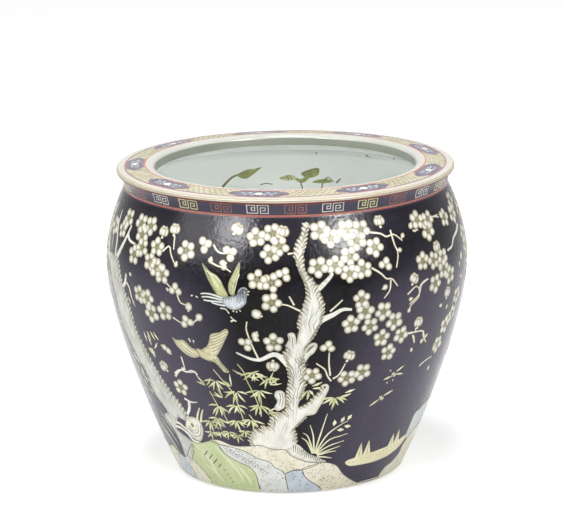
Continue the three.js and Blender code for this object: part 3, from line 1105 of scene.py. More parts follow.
def ring(across: float, up: float, count: int = 12, turn: float = 0.0) -> list[Point]:
    """An ellipse as points in mm, counter-clockwise, turned by some degrees."""
    lean = math.radians(turn)
    points = []
    for k in range(count):
        angle = 2.0 * math.pi * k / count
        x, y = across * math.cos(angle), up * math.sin(angle)
        points.append((x * math.cos(lean) - y * math.sin(lean), x * math.sin(lean) + y * math.cos(lean)))
    return points


# ---- The garden painted round the pot -----------------------------------------------------------


class Bloom(Enum):
    """How a blossom is seen."""

    FULL = "full face"
    CUP = "from the side, open upwards"
    HALF = "three petals"
    BUD = "closed"


# Places on the outside: degrees round from the front, height in mm, then the way that a blossom faces in
# degrees, or a bud's radius in mm.
FULL_BLOSSOMS: Line = (
    (-65.3, 306), (-67.6, 293), (-56.3, 306), (-50.8, 306), (-54.3, 294.8), (-52.9, 282), (-45.7, 286.5),
    (-56.6, 272), (-47.9, 269.6), (-44.8, 264), (-42.2, 258.6), (-53.2, 230), (-49.2, 227.8), (-48, 211.5),
    (-41.8, 217.2), (-33.6, 288), (-9.8, 307), (-4.5, 311), (-2.3, 298), (-5.3, 290), (-9.2, 263),
    (-4.8, 260), (-4.9, 238), (-4.6, 192), (11, 312), (14.3, 304), (20, 311), (25, 310), (23, 299), (29, 290),
    (9.6, 275), (15, 276), (19.5, 266), (24, 269), (20, 284), (23.2, 236), (24.5, 222), (31, 219), (20, 209),
    (26.5, 204), (35.5, 205), (31.2, 188), (39, 187), (34.6, 169), (7.8, 151.5), (20, 145), (25.5, 150),
    (48.7, 309), (54.3, 306.5), (52.7, 295), (64.8, 301.5), (72.8, 300), (76, 313), (47.2, 265.5),
    (52.5, 263), (57.8, 262.5), (57.8, 250), (62, 240), (52.9, 236.6), (69.6, 210.5), (68, 191),
    (63.5, 180.8), (61, 160), (-41.8, 126.6), (-75.5, 291), (79, 273), (81, 246), (-83, 262),
)
CUP_BLOSSOMS: tuple[tuple[float, float, float], ...] = (
    (-44.1, 302.5, 85), (-39.5, 307, 92), (-1.3, 312, 80), (-5.2, 165, 265), (20, 171, 70), (55.4, 275, 100),
    (-47.6, 148, 130), (-16.5, 314, 60), (32.5, 315, 92), (42.7, 248, 60), (46.2, 196, 85), (60.9, 219.6, 80),
)
HALF_BLOSSOMS: tuple[tuple[float, float, float], ...] = (
    (-27.3, 296, 20), (-18.4, 289.2, 30), (-1.2, 268, 60), (-36.8, 243.6, 88), (-33.2, 208.6, 110),
    (-13.7, 189.3, 40), (12.6, 184, 80), (32, 270, 70), (60.2, 157, 40),
)
BUDS: tuple[tuple[float, float, float], ...] = (
    (-36.9, 272, 2.3), (-32, 227.2, 4.2), (-28.6, 216.5, 3.6), (-24.5, 281, 2.6), (-20.3, 279, 3.2),
    (-19.8, 275, 2.8), (-9.5, 224.8, 4.6), (-10.3, 200.5, 3.7), (-10.2, 196, 3.0), (38.2, 283, 2.2),
    (31.3, 246, 2.6), (40.5, 297, 2.3), (45, 304.8, 2.7), (41.4, 226.9, 1.9), (41.1, 214.2, 2.1),
    (57.5, 208, 2.0), (62, 203.3, 1.9), (49.7, 172.3, 2.2), (51.6, 177, 1.8), (45.2, 165, 1.7),
    (59, 133, 1.8), (72.4, 253.3, 3.6), (70.2, 245.8, 2.3), (72.4, 230, 2.6), (-45, 173.2, 3.4),
    (-43.3, 169.7, 3.4), (-57.9, 249, 1.6), (-39.8, 243, 1.4), (-38.4, 151, 1.8), (62, 163.5, 3.2),
)
TWIGS: tuple[Line, ...] = (
    ((58.2, 307.2), (61.2, 304.2)), ((45.4, 299.7), (46.7, 297.9)), ((42.5, 185.9), (45.3, 186.4),
     (49.5, 184.6)), ((49.3, 244.6), (46.8, 242.9), (45, 237.2), (45.1, 227.9), (41.8, 219.6), (41.1, 214.2)),
    ((45.2, 191.2), (45.6, 186.2)), ((44.3, 183.5), (45.9, 172.7)), ((49.5, 184.6), (51, 175.1),
     (52.4, 169.1)), ((-43, 283), (-40.5, 290), (-39.5, 283), (-38, 275), (-37, 271)), ((-39, 301),
     (-38.5, 287)), ((-41, 252), (-38.5, 246)), ((-36, 239), (-35, 231), (-33, 229)), ((-38.5, 212),
     (-35.5, 207)), ((-33, 207), (-31, 209), (-28.6, 217)), ((-24.5, 279), (-21.5, 275), (-20, 275),
     (-17.5, 270)), ((-24, 297), (-22, 290), (-19.5, 289)), ((4, 228), (0, 235), (-2, 236)), ((2, 235),
     (0.5, 245)), ((-9.7, 172), (-11.5, 188), (-13, 206), (-12.7, 216)), ((0.3, 290), (2.5, 291)), ((6, 318),
     (7.5, 317), (9, 314)), ((13, 226), (17, 238)), ((28, 306), (32, 303), (34, 299), (37, 300), (40, 292)),
    ((36, 305), (36.5, 290), (37.3, 280), (36, 265)), ((27, 269), (30, 262), (32, 255), (34, 254), (36, 245)),
    ((33.5, 253), (33, 242), (31, 234)), ((45.5, 299), (48, 299)), ((57, 307), (61, 307)), ((40, 233),
     (43.5, 240), (45, 236)), ((48.5, 244), (46, 240), (45, 230), (41, 221)), ((42, 187), (46, 186),
     (49, 185), (50, 178), (52, 170)), ((45, 182), (46, 173)), ((52, 141), (55, 145), (59, 147)),
    ((14.5, 143), (13, 150), (12, 158), (9, 166)), ((14, 150), (13.3, 165), (13.2, 178)), ((15, 146),
     (17, 150), (19, 163)), ((-43, 143), (-40, 149), (-36, 148), (-33, 150)), ((-38, 166), (-37.5, 150)),
)
LIMBS: tuple[tuple[Line, float, float], ...] = (  # line, first and last width
    (((61.5, 267.4), (65.1, 269.4), (67.6, 276.6), (71.9, 281.3), (75, 287)), 2.0, 4.0), (((-61.9, 300.3),
      (-63.3, 287.3), (-65.9, 272.7), (-69.4, 257.2)), 2.6, 7.0), (((-62.8, 291), (-60.9, 284.9),
      (-56.6, 282.8)), 3.6, 1.8), (((-73.6, 309.6), (-72.5, 292.7), (-70.5, 278.3), (-70, 258)), 1.6, 4.4),
    (((-81.7, 313), (-82.1, 295.7), (-80.3, 276.9), (-77.5, 250)), 3.0, 5.6), (((-64.2, 229), (-61.6, 237),
      (-60.7, 248)), 4.6, 3.6), (((-60.6, 238), (-58.9, 233), (-58, 221)), 2.6, 1.5), (((7.5, 248),
      (9.5, 252), (13, 263), (14, 268)), 6.5, 3.0), (((8.5, 212), (10.5, 217), (14, 222), (17, 227),
      (20, 226)), 7.5, 2.5), (((1.5, 158), (0, 165), (-3, 176), (-5, 178), (-8, 173), (-10, 171), (-13, 173),
      (-17, 179)), 8.0, 1.4), (((-42.8, 92), (-40.6, 101), (-39.7, 110)), 3.2, 3.6), (((-41.6, 113),
      (-38.6, 110), (-35.7, 111.4)), 2.6, 1.0), (((-43.0, 139), (-42, 143), (-39.5, 149.4), (-37.1, 147.8),
      (-34.5, 150.9), (-32.6, 146.5)), 2.6, 1.6), (((-55, 71), (-50, 71.5), (-46.4, 66), (-44.5, 59),
      (-40, 57)), 3.6, 3.0), (((-53, 77), (-49.5, 77), (-46, 71)), 3.4, 2.6),
)
# Strokes that stand alone left of the left tree and on its root: line and width at the middle.
STRANDS: tuple[tuple[Line, float], ...] = (
    (((-71.2, 246), (-70.6, 237)), 2.4), (((-75.9, 236), (-74.8, 226)), 2.2), (((-72.6, 222), (-70.7, 214)),
     2.2), (((-60.6, 222.5), (-59.1, 214)), 2.4), (((-58.2, 223.5), (-56.6, 213)), 2.4), (((-61, 212),
      (-59.4, 195)), 2.8), (((-78.5, 300), (-78, 280)), 2.0), (((-75.6, 285), (-74.8, 265)), 2.0),
    (((-77, 240), (-75.6, 218)), 2.4), (((-68.3, 150), (-66.8, 143)), 3.0), (((-66.6, 147), (-64.8, 139)),
     3.0), (((-69.4, 138), (-68, 129)), 3.4), (((-65.5, 136), (-63.9, 127)), 3.2), (((-64.6, 127),
      (-63.1, 118)), 3.2), (((-69.6, 112), (-68.2, 101)), 3.0), (((-70, 101), (-68.6, 91)), 2.8),
    (((-66.2, 131), (-64.6, 122)), 2.6), (((-72, 162), (-70.2, 152)), 2.6), (((-71, 146), (-69.6, 136)), 2.6),
    (((-74.6, 176), (-73, 160)), 2.4), (((-71.4, 125), (-70, 113)), 2.6), (((-67.4, 66), (-63.4, 50),
      (-60.6, 30)), 1.6), (((-64, 74), (-60.4, 60), (-57.2, 45)), 1.6), (((-66, 58), (-62.4, 45),
      (-59.2, 30)), 1.4), (((-62.4, 84), (-59.4, 72), (-56.8, 60)), 1.8), (((-70, 70), (-66, 52), (-63, 36)),
     1.6), (((-68.4, 180), (-66.8, 171)), 2.4), (((-66.8, 172), (-65.2, 163)), 2.6), (((-65.6, 158),
      (-63.9, 150)), 2.4), (((-63.5, 112), (-62.2, 104)), 2.4), (((-80, 226), (-78, 200)), 2.4),
    (((-66.9, 121), (-65.5, 112)), 2.6), (((-74, 150), (-72.4, 138)), 2.4), (((-84, 200), (-82, 176)), 2.6),
    (((-54, 166), (-52.2, 160)), 2.2), (((-52, 168), (-51, 158)), 2.0),
)
TRUNK_LEFT: Line = (
    (6, 321), (5, 310), (3.3, 300), (2.4, 290), (3.1, 280), (4, 270), (5.2, 260), (5.9, 250), (5.6, 240),
    (4.6, 230), (3.5, 220), (3.2, 212), (3.4, 206), (3.0, 198), (2.6, 193), (2.1, 202), (0.8, 204),
    (-0.3, 201), (0.2, 196), (-0.7, 189.5), (-0.5, 183), (-1.6, 178.5), (-1.1, 173), (-0.3, 165), (0, 153.6),
    (0.2, 145.5), (-0.6, 135), (-1, 121), (-1.3, 110.6), (-2.6, 106), (-5.6, 104), (-7, 98), (-8.1, 86),
    (-10.2, 90), (-11.4, 83), (-13.3, 84), (-15.4, 77), (-16, 70), (-15.6, 62.6), (-11.2, 61), (-8.2, 59),
    (-4.9, 57.5),
)
TRUNK_RIGHT: Line = (
    (-1.4, 57), (2.4, 62), (2.6, 68), (2.3, 78.5), (1.7, 86), (3.6, 92), (5.6, 98), (5.9, 101.6),
    (9.4, 103.4), (10.8, 111), (12.2, 119), (13, 126), (13.9, 133.5), (13.6, 139), (11.5, 139.7), (11, 131.5),
    (9.2, 126), (7.2, 119), (4.9, 114), (3.1, 112.6), (3.7, 121.6), (4.8, 131.8), (5.6, 140.5), (4.9, 147),
    (5.6, 155), (5.3, 161.6), (4.8, 167), (4.8, 177), (5.3, 183), (6.4, 190), (8, 198), (9, 205.8), (10, 212),
    (10.6, 220), (11, 230), (10.5, 240), (9.3, 250), (8, 260), (5.5, 270), (5, 280), (5, 290), (6, 300),
    (6.5, 310), (7.5, 320),
)
LEFT_TRUNK: Line = (
    (-79.8, 257), (-76, 245), (-74.4, 231), (-72.5, 217), (-71.8, 202), (-72, 190), (-71.5, 178),
    (-68.5, 165.7), (-65.8, 150.8), (-63.4, 140), (-61.9, 129.7), (-61.6, 113), (-60, 103), (-57.7, 96.7),
    (-55.6, 87.6), (-59.6, 81), (-57.4, 70), (-55.6, 61.6), (-55, 48.6), (-56, 34), (-55.5, 22), (-51, 24),
    (-48.5, 39), (-45.6, 54.6), (-47.5, 60), (-51, 64), (-53.4, 69), (-51, 78), (-49, 85), (-45.2, 83),
    (-42.8, 87.5), (-43.6, 96.5), (-45.3, 106), (-48.1, 116), (-50.6, 128.6), (-52.8, 139.8), (-54.5, 151),
    (-56.2, 164), (-58.6, 177), (-60, 195), (-60.4, 211), (-61.8, 222), (-63.6, 234), (-64.8, 246),
    (-67.2, 259), (-73, 262),
)
# Grey washes down the trunks, each from one place to another.
WASHES: tuple[Line, ...] = (
    ((4.4, 214), (6.4, 246)), ((6, 212), (7.6, 240)), ((2.6, 150), (3.2, 186)), ((1.8, 90), (2.4, 128)),
    ((-4, 70), (0, 100)), ((-60.5, 130), (-65, 190)), ((-58, 118), (-61, 170)), ((-66, 196), (-68, 240)),
)
STUB: Line = (  # a broken-off limb
    (4.8, 167.7), (4.7, 177.2), (5.6, 184.9), (7.5, 191), (9.3, 188.7), (8.4, 179.5), (6.8, 174.8),
    (5.5, 168.1),
)
KNOT: Line = (
    (-4.6, 133.4), (-3.7, 134.4), (-2.2, 133.6), (-1.0, 127.1), (-1.0, 116.8), (-2.2, 111.2), (-4.4, 108.6),
    (-5.4, 112.7), (-4.2, 121), (-5.2, 127.2),
)
BARK_CRACKS: tuple[Line, ...] = (
    ((-2.6, 131.3), (-2.1, 124.1), (-2.7, 113.7)), ((-3.3, 131), (-3, 124.1), (-3.5, 116)), ((-1.5, 130.2),
     (-1.3, 121), (-1.8, 112.6), (-3.4, 109.6)), ((1.2, 199), (1.4, 192), (1.5, 186)), ((0.4, 200),
     (0.6, 193)), ((3.0, 203), (2.8, 196), (2.4, 190)), ((-6.0, 102), (-5.4, 94), (-6.2, 88)),
)
# The two birds: the outlines of their parts, then the feather lines over them.
BLUE_WINGS: tuple[Line, ...] = (
    ((-27.3, 277), (-24.4, 268.8), (-22.4, 265.7), (-20.9, 260.5), (-19.9, 254.3), (-18.4, 244.7),
     (-19.5, 241.9), (-22, 245.2), (-23.4, 252.4), (-24.9, 260.4), (-26.1, 268.3)), ((-14.9, 280.8),
     (-14.7, 274.6), (-15.1, 264.4), (-16.1, 257.9), (-16.2, 246.1), (-17.6, 245.8), (-18.2, 251.9),
     (-18, 259.3), (-17, 266.9), (-16, 274.3)),
)
BLUE_BODY: Line = (
    (-20.9, 240.6), (-18.7, 242.5), (-15.9, 244.8), (-14.3, 247.4), (-12.9, 245.2), (-12.6, 240.5),
    (-13.1, 235.6), (-14.7, 230.7), (-16.3, 228.8), (-18, 229.9), (-19.6, 233.4),
)
BLUE_HEAD: Line = (
    (-15.4, 243.9), (-15.1, 249.6), (-14.4, 252.8), (-13.4, 254.3), (-12.4, 252.6), (-12.1, 249.3),
    (-12.5, 244.8), (-13.4, 241.5), (-14.6, 240.6),
)
BLUE_TAIL: tuple[Line, ...] = (
    ((-20.2, 241.3), (-23.1, 244), (-25.7, 244.9), (-27.4, 243.9)), ((-20.2, 239), (-23.2, 240.7),
     (-25.5, 241.3), (-27.1, 240.4)), ((-20.2, 236.6), (-23.2, 236.9), (-25.1, 236.9), (-26.5, 237.5)),
    ((-19.3, 233), (-21.5, 233.6), (-23.8, 235.4)),
)
BLUE_LINES: tuple[Line, ...] = (
    ((-26.8, 274.9), (-25, 266.8), (-23.2, 257.1), (-21.4, 249.2), (-19.2, 243.1)), ((-25.6, 269.3),
     (-24, 258.7), (-22, 246.2)), ((-23.2, 265.4), (-21.4, 256.7), (-19.5, 244.9)), ((-15, 278.1), (-16, 268),
     (-17.1, 257.6), (-17.4, 246.4)), ((-24, 254), (-22.2, 251)), ((-23.4, 250), (-21.2, 247)), ((-17.9, 262),
     (-16.6, 257)), ((-18, 256), (-16.8, 251)),
)
CREAM_PARTS: tuple[Line, ...] = (
    ((-40.3, 188), (-38.6, 185.6), (-35.8, 186.9), (-34.6, 183.9), (-33.1, 179.4), (-31.1, 176.8),
     (-30.2, 171), (-31.4, 168.3), (-33.5, 167.4), (-35.5, 169.6), (-37.3, 173.8), (-38.8, 178.6),
     (-39.7, 183.8)), ((-25.2, 197.5), (-23.5, 200.1), (-21.7, 201.6), (-19.8, 206.2), (-18.9, 203.6),
     (-19.4, 198.8), (-20.5, 191.9), (-21.8, 183.9), (-23.9, 173.4), (-26.4, 172.5), (-29, 175),
     (-29.1, 178.7), (-27.1, 183.1), (-25.9, 189.7)), ((-30.4, 170.4), (-31.2, 179), (-29.3, 178.1),
     (-26.3, 174.1), (-24, 172.9), (-22.7, 165.5), (-20.2, 155.3), (-20.8, 153.4), (-22.2, 154.2),
     (-23.3, 158.6), (-25, 164.4), (-27.3, 166), (-29, 167.9)),
)
CREAM_LINES: tuple[Line, ...] = (
    ((-25, 195.5), (-22.6, 198.7), (-19.5, 204.8)), ((-25.3, 191.9), (-22.7, 195.6), (-19.4, 201.8)),
    ((-25.2, 188.3), (-22.6, 192.3), (-19.9, 197.6)), ((-25.7, 184.6), (-23, 188.6), (-20.4, 194)),
    ((-25.4, 181.1), (-23.1, 184.7), (-21.1, 189.1)), ((-25.2, 177.6), (-23.4, 180.8), (-22, 184.3)),
    ((-39, 183.2), (-37, 177.5), (-35, 171.9), (-32.3, 169)), ((-38, 184.2), (-35.9, 178.6), (-33.8, 174),
     (-31.2, 170.1)), ((-35.7, 184.9), (-34.1, 180), (-32.4, 175.7)), ((-25.3, 169.3), (-23.1, 161.7),
     (-20.9, 154.6)), ((-24.3, 169.7), (-22.5, 162.5), (-20.5, 155.8)), ((-26.7, 166.8), (-24.6, 164.1),
     (-22.2, 155.2)), ((-32.7, 190.4), (-31.5, 181.2), (-30.2, 171)),
)


BLUE_WING_LIGHTS: tuple[Line, ...] = (
    ((-26, 270), (-24.4, 267), (-22.3, 264), (-20.5, 258)), ((-14.8, 268.2), (-15.6, 259.8), (-16.2, 250)),
)
BLUE_BEAK_AND_CLAWS: tuple[tuple[Line, float], ...] = (
    (((-12.4, 249.5), (-11.5, 250.2)), 1.5), (((-12.3, 247), (-11.8, 246.2)), 1.2), (((-21, 229.6),
      (-19.3, 229.1), (-18.2, 224.2)), 1.6), (((-17, 227.8), (-16.6, 226.4)), 1.5), (((-15.9, 227.4),
      (-15.6, 226)), 1.5), (((-14.9, 228.6), (-14.4, 227.4)), 1.3), (((-17.8, 220.6), (-16.8, 217.2)), 1.4),
    (((-17.8, 215.2), (-16.8, 217), (-16, 215.4)), 2.2), (((-30.9, 240.4), (-30.2, 241)), 1.8),
    (((-29.2, 240.4), (-28.4, 239.3)), 1.6),
)
CANES: tuple[Line, ...] = (
    ((-17, 165), (-15, 155), (-14.5, 147), (-12.5, 130), (-11, 115)), ((-26, 156), (-23, 143), (-20, 130)),
    ((-29, 128), (-27, 112), (-25, 100), (-24, 90)), ((-15, 103), (-12, 88)), ((-20, 130), (-18.5, 112),
     (-17.5, 95)), ((-10.5, 134), (-10, 118), (-11, 104)),
)
HANGING = (-168, -136, -108, -84, -56, -24)  # ways that the leaves of a fan point, in degrees
LOW = (-170, -130, -95, -50, -10)  # the same where the leaves hang close to the ledge
LEAF_FANS: tuple[tuple[Point, tuple[float, ...], float, float], ...] = (
    *((centre, HANGING, 14.0, 2.2) for centre in (
        (-11.5, 156), (-25.8, 143), (-18.7, 131.5), (-10.4, 134.5), (-26.4, 111.5), (-19.5, 114.5), (-10.9, 116.2),
        (-31.6, 90.8), (-20.5, 95), (-28.2, 96), (-6.5, 151), (-14.6, 97),
    )),
    *((centre, LOW, 9.5, 1.8) for centre in ((-32.5, 76), (-28.5, 77), (-24.6, 79), (-21, 76), (-17.5, 82))),
    ((-14, 151), (150, 20, -20), 14.0, 1.9), ((-20, 136), (160, 130, 90), 14.0, 1.9),
    ((-30, 134), (120, 160, 60), 14.0, 1.9), ((-7, 141), (40, 65, 10), 14.0, 1.9),
    ((-24, 121), (150, 170, 120), 14.0, 1.9), ((-8, 107), (0, 25, -30), 14.0, 1.9),
    ((6.7, 134.5), (-120, -92, -58), 11.5, 2.8),
)
SPRIG_LEAVES: tuple[tuple[Point, float], ...] = (
    ((7.6, 135.5), 0), ((7.4, 138), 22), ((18, 122.5), 12), ((19.5, 126.5), 16),
)
LEFT_LEAVES: tuple[tuple[Point, float], ...] = (
    ((-54.4, 187), -80), ((-52.6, 189), -68), ((-50.8, 190), -60), ((-49.2, 190), -52), ((-54.4, 167), -20),
    ((-53, 168), -70), ((-50.6, 167), 50), ((-51.5, 170), 110),
)
BLADES: tuple[Line, ...] = (
    ((10, 53), (9.3, 75), (7.8, 90)), ((9.8, 53), (7.2, 75), (5.1, 80)), ((9.4, 53), (6.9, 68.6), (4.7, 74)),
    ((10.2, 53), (12.4, 80.3), (14.1, 102.5)), ((10.5, 53), (14.8, 75.4), (19.7, 86.5), (22.8, 91)),
    ((10.8, 53), (15.8, 68.7), (20.4, 72.5), (23.6, 74.6)), ((11, 52), (16.1, 61.1), (22.5, 66)), ((11.4, 51),
     (16.3, 55.8), (21.1, 59.5)), ((11.4, 50), (16.1, 53.1), (19.7, 53.6)), ((11.4, 48), (14.1, 47.6),
     (18.1, 45)),
)
TUFT_LEAVES: tuple[tuple[Point, float], ...] = (
    ((17, 85.5), 85), ((19.8, 89), 68), ((21.2, 85), -10), ((18.4, 80.6), -2), ((22.4, 91), 60),
)
TURF: Line = (
    (2, 66), (4, 64), (7, 55), (10, 50), (14, 44), (16, 41), (13, 39.5), (8, 42), (4, 46), (0, 52), (-1, 60),
)
POD: Line = (
    (-46.6, 69.5), (-43.9, 62), (-39.9, 60.5), (-37.4, 70.8), (-36.6, 79), (-37.4, 88), (-40.5, 90.6),
    (-43.6, 87), (-45.4, 80),
)
POD_LINES: tuple[Line, ...] = (
    ((-46, 70), (-43.5, 65.6), (-40, 66.4), (-38, 74), (-37.4, 82)), ((-45.4, 74), (-43, 70), (-40.4, 70.4),
     (-38.8, 76)),
)
INSECTS: tuple[tuple[Point, tuple[Line, ...]], ...] = (  # the place of the body, and the wings
    ((39.1, 139.6), (((34.9, 135.6), (38.4, 138.4)), ((40, 142.6), (43.2, 147.6)), ((40, 139.6),
       (43.5, 137.9)))), ((35.6, 113), (((31, 105.4), (34.6, 111.8)), ((36.4, 115.2), (40.4, 119.8)))),
)
BANK: Line = (
    (25, 36), (26, 39), (30, 41), (36, 43), (45, 45), (52, 47), (58, 51), (61, 51), (60, 44), (57, 38),
    (50, 32), (42, 30), (35, 30), (28, 31),
)
SPIRES: tuple[Line, ...] = (
    ((29.4, 40), (31.1, 60), (33.4, 41)), ((33.4, 42), (34.8, 61.5), (37.4, 42.6)), ((47.4, 45), (48.9, 61.5),
     (51.2, 45.6)), ((51.2, 45.6), (52, 65), (55, 46)),
)
HILL_STROKES: tuple[tuple[Line, float], ...] = (
    (((-40.6, 42.1), (-37.9, 48.9)), 1.5), (((-38.4, 38.5), (-35.7, 45.3)), 1.5), (((-36.8, 33),
      (-33.7, 40.7)), 1.6), (((-34.6, 29.2), (-32.4, 34.6)), 1.4),
)
HILL_LIGHTS: tuple[Line, ...] = (
    ((-44, 52), (-41, 47), (-38, 34), (-36, 12)), ((-33, 58), (-30, 46), (-26, 34), (-22, 12)), ((-42, 30),
     (-38, 24), (-34, 10)), ((-25, 38), (-21, 24), (-19, 10)),
)
CURLS: Line = (
    (-27.9, 57.9), (-25.6, 52.5), (-22.5, 48.7), (-20, 44.6), (-17, 40.6), (-15, 36.2), (-12.6, 31),
)
# Edges that two rocks share, then each rock's colour, marks, extra lift and outline, the hindmost first.
HILL_EDGE: Line = ((-29, 50), (-26, 44), (-22, 39), (-18, 34), (-16, 25), (-15.5, 13))
LEDGE_EDGE: Line = ((-25, 59), (-20, 56), (-17, 52), (-14, 47), (-9, 43), (-7, 36), (-4, 32), (-2.5, 27))
BLUE_EDGE: Line = ((6.5, 24), (9, 17), (13, 10))
ROCKS: tuple[tuple[Finish, int, float, Line], ...] = (
    (ROCK_CREAM, 70, 0.0, (
        (-42, 2), (-44, 15), (-47, 24), (-50, 33), (-48, 40), (-46, 48), (-46, 54), (-50, 44), (-54, 34),
        (-58, 30), (-62, 34), (-66, 40), (-72, 34), (-80, 40), (-86, 30), (-86, 2), (-80, 1.2), (-46, 1.2),
    )),
    (ROCK_BLUE, 16, 0.04, (
        (-53, 2), (-54, 12), (-56, 24), (-59, 33), (-63, 30), (-66, 18), (-68, 2), (-62, 1.2),
    )),
    (ROCK_CREAM, 30, 0.0, (
        (49, 4), (52, 16), (57, 20), (61, 29), (61, 38), (64, 45), (67, 52), (73, 58), (84, 58), (86, 30),
        (86, 2), (80, 1.2), (54, 1.2), (49, 2),
    )),
    (ROCK_SHADE, 12, 0.02, (
        (60, 53), (60.3, 66), (61, 77), (65, 80), (72, 85), (79, 84), (86, 76), (88, 60), (84, 54), (73, 55),
        (67, 50), (64, 44), (61.5, 45),
    )),
    (ROCK_CREAM, 90, 0.0, (
        (5, 32.5), (9, 37), (13, 40), (17, 39), (21, 34), (23, 28), (25, 22), (28, 16), (31, 11), (34, 7),
        (38, 5), (44, 4), (50, 4), (52, 1.2), (34, 1.2), (18, 1.2), (15.5, 3), *BLUE_EDGE[::-1],
    )),
    (ROCK_BLUE, 22, 0.03, (
        (-2.5, 27), (-1, 29), (1, 32), (5, 32.5), *BLUE_EDGE, (15, 6), (16, 2), (13, 1.2), (1, 1.2), (-1, 2),
        (-1.8, 15),
    )),
    (ROCK_GREY, 80, 0.01, (
        (-31, 60), *LEDGE_EDGE, (-1.8, 15), (-1, 2), (-3, 1.2), (-13, 1.2), (-15.2, 2), *HILL_EDGE[::-1],
    )),
    (ROCK_CREAM, 60, 0.02, (
        (-35, 64), (-30, 66), (-24, 61), (-18, 62), (-12, 64), (-9, 61), (-6, 59), (-2, 59), (0, 52), (4, 46),
        (8, 42), (13, 40), (8, 34), (5, 32), (1, 31.5), (-1, 29), *LEDGE_EDGE[::-1], (-31, 60.5),
    )),
    (HILL_GREEN, 10, 0.03, (
        (-46, 57), (-43, 56), (-40, 58), (-36, 62), (-33, 64), (-31, 63), (-31, 60), *HILL_EDGE, (-15, 2),
        (-20, 1.2), (-36, 1.2), (-42, 2), (-44, 15), (-47, 24), (-50, 33), (-48, 40), (-46, 48),
    )),
)


@dataclass
class Inks:
    """The colours that the garden is painted in, one relief each."""

    where: str
    chart: Chart = WALL
    reliefs: dict[str, Relief] = field(default_factory=dict)

    def __getitem__(self, finish: Finish) -> Relief:
        """The relief of a colour, begun when it is first asked for."""
        if finish.name not in self.reliefs:
            self.reliefs[finish.name] = Relief(f"{finish.name}_{self.where}", self.chart, finish)
        return self.reliefs[finish.name]

    def made(self) -> None:
        """Makes every relief that was begun."""
        for relief in self.reliefs.values():
            relief.made()


